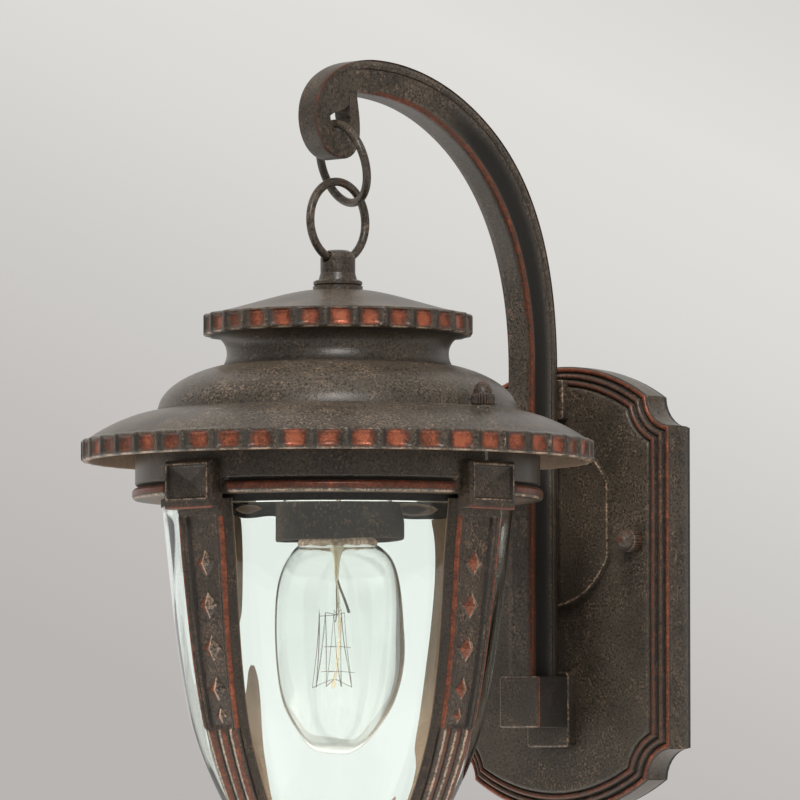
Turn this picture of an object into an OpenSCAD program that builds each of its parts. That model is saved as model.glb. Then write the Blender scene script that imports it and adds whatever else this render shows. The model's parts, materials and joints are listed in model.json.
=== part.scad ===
// Outdoor wall lantern: a cast wall plate, a hooked arm, two rings and a four-strap lantern.
// The wall is the plane y = 0 and the lantern hangs in front of it, towards -Y.
// The origin is the centre of the mounting bar, at the height of the two plate nuts.

/* [Wall plate] */
// Width of the wall plate
plate_w = 121; // [118:1:140]
// Height of the wall plate, to the tips of its arched ends
plate_h = 185; // [180:1:215]
// Distance from the wall to the plate's face
plate_depth = 17; // [14:0.5:26]
// Height of the plate's middle above the mounting bar
plate_mid_z = -19; // [-22:0.5:-16]
// Radius of the scooped corners
scoop_r = 12.6; // [9:0.1:15]
// Rise of the arched ends
arch_rise = 13.9; // [8:0.1:18]
// Thickness of the cast wall of the plate
plate_wall = 3; // [2:0.1:4]
// Width of each of the three steps of the border
border_step = 2.9; // [2:0.1:3.2]
// Radius of the raised boss in the middle of the plate
boss_r = 35; // [32:0.5:38]
// Half width at which the boss is cut flat
boss_half_w = 31.6; // [28:0.1:34]
// Height of the boss's centre above the bar
boss_z = 8.8; // [4:0.1:12]
// Height of the boss above the plate's face
boss_rise = 2; // [1:0.1:2.5]
// Thickness of the foam gasket against the wall
gasket_t = 1.5; // [1:0.1:3]
// Distance between the two plate studs
stud_spacing = 88.9; // [84:0.1:90]

/* [Arm] */
// Distance from the plate's face to the lantern's axis
reach = 128.2; // [126:0.1:150]
// Width of the arm at its foot
arm_w = 13.2; // [11:0.1:16]
// Width of the arm at its hook
hook_w = 10.4; // [9:0.1:12]
// Depth of the upright part of the arm
arm_depth = 16.9; // [15:0.1:18]
// Thickness of the pad at the top of the upright
top_pad_t = 3.6; // [3:0.1:4.5]
// Radius of the eye in the hook
eye_r = 6.2; // [5.6:0.1:6.6]

/* [Rings] */
// Outer diameter of the upper ring
upper_ring_d = 36; // [35:0.1:38]
// Outer diameter of the lower ring
lower_ring_d = 35; // [33:0.1:36]
// Diameter of the ring wire
wire_d = 3.4; // [3:0.1:3.6]

/* [Roof] */
// Outer radius of the roof's fluted rim
roof_r = 102.4; // [98:0.1:125]
// Height of the roof's fluted rim
rim_h = 8.2; // [6:0.1:9]
// Number of flutes round the roof's rim
rim_flutes = 48; // [36:2:60]
// Outer radius of the cap's fluted rim
cap_r = 54; // [52:0.1:60]
// Number of flutes round the cap's rim
cap_flutes = 28; // [20:2:36]
// Depth of a flute
flute_depth = 1.5; // [0.8:0.1:2]
// Thickness of the roof's and the cap's sheet
sheet_t = 1.8; // [1.2:0.1:2.4]

/* [Cage] */
// Outer radius of the ring that carries the straps
cage_r = 80.8; // [78:0.1:84]
// Wall of that ring
cage_wall = 2.8; // [2:0.1:3.4]
// Width of a strap at its top
strap_w = 24; // [20:0.5:28]
// Width of a strap at its foot
strap_foot_w = 16; // [14:0.5:18]
// Thickness of a strap
strap_t = 7; // [5:0.1:7.2]
// Thickness of the glass
glass_t = 3; // [2:0.1:4]
// Outer radius of the hub that the straps meet
hub_r = 14; // [13:0.1:17]

/* [Lamp] */
// Outer radius of the socket cup
cup_r = 25.2; // [22:0.1:28]
// Radius of the bulb's screw cap
bulb_cap_r = 13.2; // [12:0.1:13.8]
// Greatest radius of the bulb's glass
bulb_r = 25.5; // [22:0.1:30]
// Thickness of the bulb's glass
bulb_t = 0.9; // [0.7:0.1:1.2]
// Radius of the threaded pipe that the lantern hangs on
pipe_r = 5; // [4:0.1:6]

/* [Fasteners] */
// Radius of the plate and roof studs
stud_r = 2; // [1.6:0.1:2.2]
// Radius of a cap nut
nut_r = 4.7; // [4:0.1:5.5]
// Height of a cap nut
nut_h = 9.5; // [8:0.1:12]
// Radial clearance between a stud and the nut on it
thread_gap = 0.05; // [0.02:0.01:0.08]
// Radial clearance round a screw that passes through a hole
hole_gap = 0.4; // [0.2:0.1:0.6]

/* [Hidden] */
$fn = 96;
eps = 0.01;

bronze = [0.25, 0.22, 0.19];
copper = [0.55, 0.32, 0.22];
steel = [0.7, 0.7, 0.68];
brass = [0.78, 0.62, 0.32];

wire_r = wire_d / 2;
axis_y = -plate_depth - reach;
upper_r = upper_ring_d / 2 - wire_r;
lower_r = lower_ring_d / 2 - wire_r;

// Heights on the lantern, from its loop down to its finial
loop_hole_z = 109.6;
loop_gap = 0.6;
loop_top_z = 113.6;
loop_r = 7;
collar_top_z = 101.5;
cap_top_z = 97.5;
cap_foot_z = 67;
roof_top_z = cap_foot_z - 0.02;
rim_top_z = 37;
rim_foot_z = rim_top_z - rim_h;
cage_top_z = 44.6;
cage_lip_z = 18;
cage_foot_z = 13.5;
block_foot_z = 7.5;
glass_rim_z = 10.5;
cup_top_z = 25;
cup_foot_z = -2.5;
hub_top_z = -146;
hub_foot_z = -160;
finial_tip_z = -176;

// The upper ring hangs in the eye and leans a little
eye_y = -plate_depth - (reach + 2.8);
eye_z = 164.3;
eye_floor_z = eye_z - wire_r - 2;
ring_turn = -14.6;
ring_lean = 17;

// ---------- helpers ----------

// A point at t on the cubic curve through p[0] and p[3]
function bezier(p, t) = pow(1 - t, 3) * p[0] + 3 * t * pow(1 - t, 2) * p[1]
    + 3 * t * t * (1 - t) * p[2] + t * t * t * p[3];

// The points of a cubic curve in n steps, without its last one
function curve(p, n = 8) = [for (i = [0:n - 1]) bezier(p, i / n)];

// A vector of length one across the direction from a to b, on its left
function across(a, b) = let (d = b - a) [-d[1], d[0]] / norm(d);

// A line moved sideways by d
function beside(line, d) = let (n = len(line)) [for (i = [0:n - 1])
    line[i] + d * across(line[max(0, i - 1)], line[min(n - 1, i + 1)])];

function reversed(line) = [for (i = [len(line) - 1:-1:0]) line[i]];

// The outline of a rim with n concave flutes round it
function fluted_outline(r, n, depth, steps = 6) = [for (i = [0:n * steps - 1])
    let (u = 2 * (i % steps) / steps - 1, a = 360 * i / (n * steps))
    (r - depth * (1 - u * u)) * [cos(a), sin(a)]];

module fluted_ring(r, n, depth, inner, h) {
    linear_extrude(h) difference() {
        polygon(fluted_outline(r, n, depth));
        circle(r = inner);
    }
}

module wire_ring(r, w) {
    rotate_extrude() translate([r, 0]) circle(r = w, $fn = 32);
}

module tube(outer, inner, h) {
    linear_extrude(h) difference() {
        circle(r = outer);
        circle(r = inner);
    }
}

// What is drawn round Z is put on the lantern's axis
module at_axis() {
    translate([0, axis_y, 0]) children();
}

// An outline drawn in X and Z becomes a slab from y to y - t
module slab(y, t) {
    translate([0, y, 0]) rotate([90, 0, 0]) linear_extrude(t) children();
}

// A cylinder along -Y from y to y - h
module post(x, y, z, r, h) {
    translate([x, y, z]) rotate([90, 0, 0]) cylinder(r = r, h = h);
}

// A domed nut with a knurled skirt and a blind bore, standing on z = 0
module cap_nut() {
    difference() {
        union() {
            linear_extrude(nut_h * 0.42) polygon(fluted_outline(nut_r, 24, 0.3, 4));
            rotate_extrude() polygon([
                [0, 0], [nut_r * 0.8, 0], [nut_r * 0.8, nut_h * 0.5],
                each [for (a = [0:15:90]) [nut_r * 0.78 * cos(a), nut_h * (0.55 + 0.45 * sin(a))]]
            ]);
        }
        translate([0, 0, -eps]) cylinder(r = stud_r + thread_gap, h = nut_h * 0.75);
    }
}

// ---------- wall plate ----------

// The plate's outline, inset by d: straight sides, scooped corners and arched ends.
// The inset arch and the inset scoop are two circles, met by the cosine rule.
function plate_outline(d) = let (
        side = plate_h / 2 - arch_rise,
        chord = plate_w / 2 - scoop_r,
        arch_r = (chord * chord + arch_rise * arch_rise) / (2 * arch_rise),
        arch_c = side + arch_rise - arch_r,
        scoop = scoop_r + d,
        apart = norm([plate_w / 2, side - arch_c]),
        toward = 180 + atan2(side - arch_c, plate_w / 2),
        open = acos((apart * apart + scoop * scoop - pow(arch_r - d, 2)) / (2 * apart * scoop)),
        first = 180 + acos(d / scoop),
        last = toward - open,
        meet = plate_w / 2 + scoop * cos(last),
        half = asin(meet / (arch_r - d)),
        corner = [for (i = [0:7]) let (a = first + (last - first) * i / 7)
            [plate_w / 2 + scoop * cos(a), side + scoop * sin(a)]],
        top = [for (i = [1:12]) let (a = half * (1 - i / 12))
            [(arch_r - d) * sin(a), arch_c + (arch_r - d) * cos(a)]]
    )
    [for (q = plate_loop(concat(corner, top))) [q[0], q[1] + plate_mid_z]];

// Four mirrored quarters of an outline, in order
function plate_loop(q) = concat(
    q,
    reversed([for (p = q) if (p[0] > eps) [-p[0], p[1]]]),
    [for (p = q) [-p[0], -p[1]]],
    reversed([for (p = q) if (p[0] > eps) [p[0], -p[1]]])
);

function arm_screw_places() = [59.5, -68];

module wall_plate() {
    color(bronze) difference() {
        union() {
            slab(-gasket_t, plate_depth - gasket_t - 4) polygon(plate_outline(0));
            slab(-plate_depth + 4, 1.6) polygon(plate_outline(border_step * 0.35));
            slab(-plate_depth + 2.4, 1.2) polygon(plate_outline(border_step * 1.2));
            slab(-plate_depth + 1.2, 1.2) polygon(plate_outline(border_step * 2.2));
            slab(-plate_depth, boss_rise) intersection() {
                translate([0, boss_z]) circle(r = boss_r);
                square([boss_half_w * 2, boss_r * 4], center = true);
            }
        }
        slab(eps, plate_depth - plate_wall) polygon(plate_outline(plate_wall + border_step * 1.2));
        slab(eps, plate_depth - 4 - plate_wall) polygon(plate_outline(plate_wall));
        for (x = [-1, 1] * stud_spacing / 2)
            post(x, 1, 0, stud_r + hole_gap, plate_depth + boss_rise + 5);
        for (z = arm_screw_places())
            post(0, 1, z, stud_r + hole_gap, plate_depth + boss_rise + 5);
    }
}

module wall_gasket() {
    color([0.12, 0.12, 0.12]) slab(0, gasket_t) difference() {
        polygon(plate_outline(0.6));
        polygon(plate_outline(plate_wall));
    }
}

// ---------- mounting bar and its fasteners ----------

bar_half_l = plate_w / 2 - 8.5;
bar_half_h = 9.5;
bar_t = 1.6;
slot_x = 30;
slot_l = 10;
slot_r = 2.25;
lock_nut_r = 3.9;
lock_nut_h = 3;
earth_x = 9;

module bar_slot(x) {
    for (s = [-1, 1])
        post(x + s * (slot_l / 2 - slot_r), 1, 0, slot_r, bar_t + 2);
    translate([x, -bar_t / 2, 0]) cube([slot_l - 2 * slot_r, bar_t + 2, 2 * slot_r], center = true);
}

module mounting_bar() {
    color(steel) difference() {
        slab(0, bar_t) square([bar_half_l * 2, bar_half_h * 2], center = true);
        for (s = [-1, 1]) {
            bar_slot(s * slot_x);
            post(s * stud_spacing / 2, 1, 0, stud_r, bar_t + 2);
        }
        post(earth_x, 1, 0, 1.75, bar_t + 2);
    }
}

module plate_studs() {
    color(steel) for (s = [-1, 1])
        post(s * stud_spacing / 2, 0, 0, stud_r, plate_depth + nut_h * 0.7);
}

module stud_lock_nuts() {
    color(steel) for (s = [-1, 1]) difference() {
        translate([s * stud_spacing / 2, -bar_t, 0]) rotate([90, 0, 0])
            cylinder(r = lock_nut_r, h = lock_nut_h, $fn = 6);
        post(s * stud_spacing / 2, 1, 0, stud_r, plate_depth);
    }
}

module earth_screw() {
    color([0.2, 0.5, 0.28]) {
        post(earth_x, 0, 0, 1.75, bar_t + 1);
        post(earth_x, -bar_t, 0, 3.6, 2.4);
    }
}

module plate_cap_nut(s) {
    color(bronze) translate([s * stud_spacing / 2, -plate_depth - eps, 0])
        rotate([90, 0, 0]) cap_nut();
}

module plate_cap_nut_left() { plate_cap_nut(-1); }

module plate_cap_nut_right() { plate_cap_nut(1); }

// ---------- arm ----------

// The arm is drawn with its distance t from the plate's face across and its height up.
// Its arch scales with the reach, so the hook always ends above the lantern's axis.
function arm_point(t, z) = [t * reach / 128.2, z];
function arm_curve(a, b, c, d, n = 8) = curve([
    arm_point(a[0], a[1]), arm_point(b[0], b[1]), arm_point(c[0], c[1]), arm_point(d[0], d[1])
], n);

hook_back = [119.8, 163];
arch_back = [116, 176.9];

function arm_outline() = concat(
    [[top_pad_t, -60]],
    arm_curve([4, 70], [4, 112], [14, 145], [41, 167]),
    arm_curve([41, 167], [60, 182.5], [84, 191.5], [110, 191.3]),
    arm_curve([110, 191.3], [127, 191.2], [146, 183.5], [145.8, 167]),
    arm_curve([145.8, 167], [145.8, 158], [140, 150.2], [131, 150]),
    arm_curve([131, 150], [125, 149.8], [119.6, 154.5], hook_back, 6),
    arm_curve(hook_back, [120, 172], [120.6, 176.6], arch_back, 5),
    arm_curve(arch_back, [96, 176.8], [77, 171.5], [59.5, 159]),
    arm_curve([59.5, 159], [41, 145.5], [20.8, 120], [20.5, 72]),
    [[top_pad_t + arm_depth, 60], [top_pad_t + arm_depth, -60]]
);

foot_w = 22;
foot_foot_z = -76;
foot_top_z = -55;
groove_depth = 1.6;
slit_w = 1.2;

// An outline of t and z becomes a slab of width w across X, in front of the plate
module arm_slab(w) {
    translate([0, -plate_depth, 0]) rotate([90, 0, -90]) linear_extrude(w, center = true) children();
}

// The eye is a round-floored hole along X, and a slit parts the hook's tip from the arch
module eye() {
    floor_c = [-plate_depth - eye_y + 0.4, eye_floor_z + eye_r];
    tip_c = floor_c[0] - eye_r;
    arm_slab(arm_w * 2) {
        intersection() {
            translate(floor_c) circle(r = eye_r);
            translate(floor_c - [eye_r, eye_r]) square([eye_r * 2, eye_r + 1.6]);
        }
        translate([tip_c + 0.6, floor_c[1]]) square([slit_w, 12]);
    }
}

module arm() {
    color(bronze) difference() {
        union() {
            intersection() {
                arm_slab(arm_w) polygon(arm_outline());
                // the arm narrows from its foot to its hook
                translate([0, -plate_depth, -200]) linear_extrude(500) polygon([
                    [-arm_w / 2, 0], [-arm_w / 2, -20], [-hook_w / 2, -100], [-hook_w / 2, -400],
                    [hook_w / 2, -400], [hook_w / 2, -100], [arm_w / 2, -20], [arm_w / 2, 0]
                ]);
            }
            translate([0, -plate_depth - top_pad_t / 2 - 0.5 - eps, 59.3])
                cube([16.8, top_pad_t + 1, 16.4], center = true);
            translate([0, -plate_depth - top_pad_t - arm_depth / 2 + 0.5, (foot_top_z + foot_foot_z) / 2])
                cube([foot_w, arm_depth + 2, foot_top_z - foot_foot_z], center = true);
            translate([0, -plate_depth - 1.95 - eps, -68.5]) cube([23, 3.9, 31], center = true);
        }
        eye();
        for (s = [-1, 1])
            translate([s * arm_w / 2, -plate_depth - top_pad_t - 12.5, 8.5])
                cube([groove_depth * 2, 6.6, 120], center = true);
        for (z = arm_screw_places())
            post(0, -plate_depth + 1, z, stud_r, 11);
    }
}

screw_head_r = 3.6;
screw_head_h = 2.4;

module arm_screws() {
    color(steel) for (z = arm_screw_places()) {
        post(0, -plate_depth + plate_wall + eps, z, stud_r, plate_wall + 9);
        post(0, -plate_depth + plate_wall + screw_head_h + eps, z, screw_head_r, screw_head_h);
    }
}

// ---------- rings ----------

module upper_ring() {
    color(bronze) translate([0, eye_y, eye_z]) rotate([0, 0, ring_turn]) rotate([ring_lean, 0, 0])
        translate([0, 0, -upper_r]) rotate([90, 0, 0]) wire_ring(upper_r, wire_r);
}

module lower_ring() {
    color(bronze) at_axis() translate([0, 0, loop_hole_z + lower_r]) rotate([0, 90, 0])
        wire_ring(lower_r, wire_r);
}

// ---------- loop, pipe, cap and roof ----------

module top_loop() {
    color(bronze) at_axis() difference() {
        rotate_extrude() polygon([
            [0, collar_top_z], [loop_r + 0.8, collar_top_z], [loop_r, collar_top_z + 3],
            [loop_r, loop_top_z - 3], [loop_r - 1.2, loop_top_z - 0.8], [loop_r - 3, loop_top_z],
            [0, loop_top_z]
        ]);
        translate([0, 0, loop_hole_z + lower_r]) rotate([0, 90, 0])
            wire_ring(lower_r, wire_r + loop_gap);
        translate([0, 0, collar_top_z - 1]) cylinder(r = pipe_r, h = 4);
    }
}

module loop_collar() {
    color(bronze) at_axis() difference() {
        rotate_extrude() polygon([
            [pipe_r, cap_top_z], [10, cap_top_z], [10, cap_top_z + 1.6], [9.2, cap_top_z + 2],
            [9.8, cap_top_z + 2.4], [9.8, collar_top_z - 0.5], [9, collar_top_z],
            [pipe_r, collar_top_z]
        ]);
    }
}

module centre_pipe() {
    color(steel) at_axis() translate([0, 0, cup_top_z - 6])
        tube(pipe_r, pipe_r - 1.4, collar_top_z + 3 - cup_top_z + 6);
}

cap_rim_top = 87.7;
cap_rim_h = 8.4;
cap_neck_r = 44.2;

// The cap's outer surface, from the pipe out to its rim and back in under it to its foot
function cap_top_line() = concat(
    [[pipe_r, cap_top_z], [10, cap_top_z]],
    curve([[12, 97.4], [24, 96], [36, 91], [cap_r - 3.5, cap_rim_top]], 8)
);
function cap_neck_line() = concat(
    curve([[cap_r - 3, cap_rim_top - cap_rim_h], [45, 78.5], [42.5, 72], [46, cap_foot_z]], 8),
    [[46, cap_foot_z]]
);

module roof_cap() {
    color(bronze) at_axis() {
        rotate_extrude() polygon(concat(
            cap_top_line(),
            [[cap_r - 2.5, cap_rim_top]],
            cap_neck_line(),
            [[46 - sheet_t, cap_foot_z]],
            [for (q = reversed(beside(cap_neck_line(), -sheet_t))) if (q[1] > cap_foot_z + 0.1) q],
            reversed(beside(cap_top_line(), -sheet_t))
        ));
        translate([0, 0, cap_rim_top - cap_rim_h])
            fluted_ring(cap_r, cap_flutes, flute_depth, cap_r - 4.5, cap_rim_h);
    }
}

flange_r = 72;
stud_x = 79;
seat_z = 48.2;
seat_r = nut_r + 0.6;

// The roof's outer surface: a dome, then a flange that slopes down to the rim
function roof_line() = concat(
    [[pipe_r, roof_top_z]],
    curve([[47, roof_top_z], [57, 65], [71, 59], [flange_r - 0.1, 49.2]], 8),
    curve([[flange_r + 0.4, 48.9], [80, 48.2], [92, 43.5], [roof_r - 2, rim_top_z + 0.4]], 8),
    [[roof_r - 2, rim_top_z]]
);

module roof() {
    color(bronze) at_axis() difference() {
        union() {
            rotate_extrude() polygon(concat(
                roof_line(),
                reversed(beside(roof_line(), -sheet_t))
            ));
            translate([0, 0, rim_foot_z])
                fluted_ring(roof_r, rim_flutes, flute_depth, roof_r - 4, rim_h);
            for (s = [-1, 1])
                translate([s * stud_x, 0, cage_top_z + 1])
                    cylinder(r = seat_r, h = seat_z - cage_top_z - 1);
        }
        // each nut sits on a flat seat
        for (s = [-1, 1]) {
            translate([s * stud_x, 0, seat_z]) cylinder(r = seat_r, h = 10);
            translate([s * stud_x, 0, 30]) cylinder(r = stud_r + hole_gap, h = 30);
        }
        translate([0, 0, roof_top_z - 6]) cylinder(r = pipe_r, h = 10);
    }
}

module pipe_washer() {
    color(steel) at_axis() translate([0, 0, roof_top_z - sheet_t - 1.6]) tube(12, pipe_r, 1.5);
}

module pipe_nut() {
    color(steel) at_axis() translate([0, 0, roof_top_z - sheet_t - 1.7 - 5]) difference() {
        cylinder(r = 9, h = 5, $fn = 6);
        translate([0, 0, -1]) cylinder(r = pipe_r, h = 7);
    }
}

// ---------- cage ----------

lip_r = cage_r + 1.2;
shelf_r = 62;
roof_stud_foot_z = 26;

module cage_ring() {
    color(bronze) at_axis() difference() {
        union() {
            rotate_extrude() polygon([
                [shelf_r, cage_foot_z], [lip_r - 0.5, cage_foot_z], [lip_r, cage_foot_z + 1.5],
                [lip_r - 0.4, cage_lip_z - 0.3], [cage_r - 0.8, cage_lip_z],
                [cage_r, cage_lip_z + 1], [cage_r, cage_top_z], [cage_r - cage_wall, cage_top_z],
                [cage_r - cage_wall, cage_foot_z + 2], [shelf_r, cage_foot_z + 2]
            ]);
            for (s = [-1, 1]) translate([s * (stud_x - 3.5), 0, roof_stud_foot_z + 7])
                cube([5, 9, 14], center = true);
        }
        for (s = [-1, 1])
            translate([s * stud_x, 0, roof_stud_foot_z]) cylinder(r = stud_r, h = 40);
        for (a = [0:90:270]) rotate(a) for (x = [-1, 1] * screw_pitch / 2)
            translate([x, -70, screw_z]) rotate([90, 0, 0]) cylinder(r = 1.5, h = 20);
    }
}

module roof_studs() {
    length = seat_z + nut_h * 0.65 - roof_stud_foot_z;
    color(steel) at_axis() for (s = [-1, 1])
        translate([s * stud_x, 0, roof_stud_foot_z]) cylinder(r = stud_r, h = length);
}

module roof_cap_nut(s) {
    color(bronze) at_axis() translate([s * stud_x, 0, seat_z + eps]) cap_nut();
}

module roof_cap_nut_left() { roof_cap_nut(-1); }

module roof_cap_nut_right() { roof_cap_nut(1); }

// The strap's outer line, as its distance from the axis and its height
strap_knee = [66.8, -73];
strap_end = [hub_r - 2, -156];
function strap_line() = concat(
    curve([[cage_r - 2.8, block_foot_z], [cage_r - 6.3, -18], [cage_r - 7, -42], strap_knee], 8),
    curve([strap_knee, [61.5, -96.5], [40, -143], strap_end], 10),
    [strap_end]
);

block_w = strap_w + 2;
block_face_r = cage_r + 4.2;
block_top_z = 26.5;
screw_pitch = 12;
screw_z = 22;
strap_inset = 0.03;

// One strap on the -Y side of the lantern, turned to its own side
module strap(turn) {
    color(copper) at_axis() rotate(turn) difference() {
        union() {
            intersection() {
                rotate([90, 0, -90]) linear_extrude(strap_w + 2, center = true) polygon(concat(
                    strap_line(),
                    reversed(beside(strap_line(), -strap_t))
                ));
                // the strap narrows towards its foot
                rotate([90, 0, 0]) linear_extrude(120) polygon([
                    [-strap_w / 2, 20], [strap_w / 2, 20], [strap_w / 2, -10],
                    [strap_foot_w / 2, -110], [strap_foot_w / 2 - 1, -170],
                    [-strap_foot_w / 2 + 1, -170], [-strap_foot_w / 2, -110], [-strap_w / 2, -10]
                ]);
            }
            translate([-block_w / 2, -block_face_r, block_foot_z])
                cube([block_w, block_face_r - (cage_r - 2.8 - strap_t), block_top_z - block_foot_z]);
        }
        translate([0, 0, cage_foot_z]) cylinder(r = lip_r + strap_inset, h = 40);
        translate([0, 0, hub_top_z - 40]) cylinder(r = hub_r + strap_inset, h = 60);
        for (x = [-1, 1] * screw_pitch / 2)
            translate([x, -70, screw_z]) rotate([90, 0, 0])
                cylinder(r = 1.5, h = block_face_r - 72);
    }
}

module strap_front() { strap(0); }

module strap_right() { strap(90); }

module strap_back() { strap(180); }

module strap_left() { strap(270); }

module strap_screws() {
    inner = cage_r - cage_wall;
    color(steel) at_axis() for (a = [0:90:270]) rotate(a) for (x = [-1, 1] * screw_pitch / 2) {
        translate([x, -inner + 1.2, screw_z]) rotate([90, 0, 0])
            cylinder(r = 1.5, h = block_face_r - inner - 1.2 - 2);
        translate([x, -inner + 3, screw_z]) rotate([90, 0, 0]) cylinder(r = 2.7, h = 1.8);
    }
}

// ---------- glass ----------

// The glass follows the straps' inner line down to the hub
glass_gap = 0.6;
glass_hole_r = 6;
function glass_line() = concat(
    curve([[70, glass_rim_z], [67, -14], [65.6, -38], [59.3, -70]], 8),
    curve([[59.3, -70], [54.8, -93], [35.5, -131.5], [16, -143.5]], 10),
    [[16, -143.5], [glass_hole_r, -144.6]]
);

module glass_shade() {
    color([0.85, 0.92, 0.9, 0.4]) at_axis() rotate_extrude() polygon(concat(
        glass_line(),
        [for (q = reversed(beside(glass_line(), -glass_t))) [q[0], min(q[1], glass_rim_z)]]
    ));
}

module glass_gasket() {
    color([0.15, 0.15, 0.15]) at_axis() translate([0, 0, glass_rim_z + 0.3])
        tube(70.5, 64, cage_foot_z - glass_rim_z - 0.35);
}

finial_stud_l = 9;

module bottom_hub() {
    color(bronze) at_axis() {
        rotate_extrude() polygon([
            [0, hub_top_z], [glass_hole_r + 6, hub_top_z], [hub_r, hub_top_z - 1.5],
            [hub_r, hub_foot_z + 3], [hub_r - 2, hub_foot_z + 1.5], [hub_r - 5, hub_foot_z],
            [stud_r, hub_foot_z], [stud_r, hub_foot_z - finial_stud_l],
            [0, hub_foot_z - finial_stud_l]
        ]);
    }
}

module finial() {
    h = hub_foot_z - finial_tip_z;
    color(copper) at_axis() difference() {
        rotate_extrude() polygon(concat(
            [[0, hub_foot_z - eps], [7.5, hub_foot_z - eps]],
            curve([[7.5, hub_foot_z - 1], [9.5, hub_foot_z - 3], [4, hub_foot_z - 4.5],
                [4.6, hub_foot_z - 6]], 6),
            curve([[4.6, hub_foot_z - 6], [7.8, hub_foot_z - 9], [5, finial_tip_z + 2.5],
                [0.01, finial_tip_z]], 8),
            [[0, finial_tip_z]]
        ));
        translate([0, 0, hub_foot_z - finial_stud_l - 1])
            cylinder(r = stud_r + thread_gap, h = finial_stud_l + 2);
    }
}

// ---------- lamp ----------

holder_wall = 4;
shell_t = 0.6;
shell_r = bulb_cap_r + 0.08 + shell_t;
holder_top_z = cup_top_z - 2.4;

module socket_cup() {
    color(bronze) at_axis() difference() {
        rotate_extrude() polygon([
            [pipe_r, cup_top_z], [cup_r - 1.5, cup_top_z], [cup_r - 0.3, cup_top_z - 1.5],
            [cup_r, cup_foot_z], [cup_r - 1.4, cup_foot_z], [cup_r - 1.8, cup_top_z - 2.2],
            [pipe_r, cup_top_z - 2.2]
        ]);
        translate([0, 0, cup_top_z - 5]) cylinder(r = pipe_r, h = 8);
    }
}

module lamp_holder() {
    color([0.9, 0.88, 0.82]) at_axis() difference() {
        rotate_extrude() polygon([
            [0, holder_top_z], [shell_r + holder_wall, holder_top_z],
            [shell_r + holder_wall, cup_foot_z + 3], [shell_r + 1.6, cup_foot_z + 1.5],
            [shell_r, cup_foot_z + 1.5], [shell_r, holder_top_z - 3], [0, holder_top_z - 3]
        ]);
        translate([0, 0, holder_top_z - 4]) cylinder(r = pipe_r, h = 8);
    }
}

module holder_shell() {
    color(brass) at_axis() translate([0, 0, cup_foot_z + 2.5])
        tube(shell_r, shell_r - shell_t, holder_top_z - 4.5 - cup_foot_z - 2.5);
}

contact_z = holder_top_z - 5;

module holder_contact() {
    color(brass) at_axis() {
        translate([-shell_r + 0.6, -2, contact_z + 0.6]) cube([shell_r + 4, 4, 0.6]);
        translate([-shell_r + 0.6, -2, contact_z + 0.6]) cube([0.8, 4, 1.4]);
    }
}

cap_foot = cup_foot_z + 0.5;

module bulb_cap() {
    color(brass) at_axis() rotate_extrude() polygon([
        [bulb_cap_r - 0.6, cap_foot], [bulb_cap_r, cap_foot], [bulb_cap_r, contact_z - 4],
        [bulb_cap_r - 3, contact_z - 2.2], [4, contact_z - 1.4], [4, contact_z - 2.2],
        [bulb_cap_r - 3.6, contact_z - 3], [bulb_cap_r - 0.6, contact_z - 4.6]
    ]);
}

module bulb_contact() {
    color(steel) at_axis() rotate_extrude() polygon([
        [0, contact_z - 2.4], [4, contact_z - 2.4], [4, contact_z - 1], [2.5, contact_z],
        [0, contact_z + 0.2]
    ]);
}

module bulb_collar() {
    color([0.9, 0.86, 0.75]) at_axis() rotate_extrude() polygon([
        [bulb_cap_r - 0.7, cap_foot + 3], [bulb_cap_r - 0.7, cap_foot - 0.02],
        [bulb_cap_r + 0.9, cap_foot - 0.02], [bulb_cap_r + 1.5, cap_foot - 2],
        [bulb_cap_r - 1.7, cap_foot - 2], [bulb_cap_r - 1.7, cap_foot + 3]
    ]);
}

bulb_tip_z = -87;
// The bulb's outer surface, from its neck to its tip
function bulb_line() = concat(
    curve([[bulb_cap_r + 1.4, cap_foot - 2.05], [bulb_r - 4, -9], [bulb_r, -18],
        [bulb_r, -34]], 8),
    curve([[bulb_r, -34], [bulb_r, -62], [bulb_r - 7, bulb_tip_z], [0, bulb_tip_z]], 12)
);

module bulb_glass() {
    color([0.95, 0.95, 0.9, 0.35]) at_axis() rotate_extrude() polygon(concat(
        bulb_line(),
        [[0, bulb_tip_z], [0, bulb_tip_z + bulb_t]],
        [for (p = reversed(beside(bulb_line(), -bulb_t))) [max(0, p[0]), p[1]]]
    ));
}

stem_foot_z = -66;
cage_top_r = 6;
cage_mid_r = 13;
filament_top_z = -22;
filament_foot_z = -60;
filament_n = 8;

module bulb_stem() {
    color([0.92, 0.92, 0.88]) at_axis() rotate_extrude() polygon([
        [0, cap_foot + 2.9], [bulb_cap_r - 1.8, cap_foot + 2.9], [bulb_cap_r - 2.4, cap_foot - 2],
        [5, -8], [3.2, -14], [2.4, -24], [1.6, -28], [1.6, stem_foot_z + 2], [2.4, stem_foot_z + 1],
        [2.4, stem_foot_z], [0, stem_foot_z]
    ]);
}

// A straight wire between two points
module wire(a, b, r) {
    d = b - a;
    l = norm(d);
    translate(a) rotate([0, acos(d[2] / l), atan2(d[1], d[0])]) cylinder(r = r, h = l, $fn = 16);
}

module bulb_filament() {
    color([0.45, 0.4, 0.35]) at_axis() for (i = [0:filament_n - 1]) {
        a = 360 * i / filament_n;
        b = a + 360 / filament_n * 0.5;
        wire([cage_top_r * cos(a), cage_top_r * sin(a), filament_top_z],
            [cage_mid_r * cos(b), cage_mid_r * sin(b), filament_foot_z], 0.4);
    }
}

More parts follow.
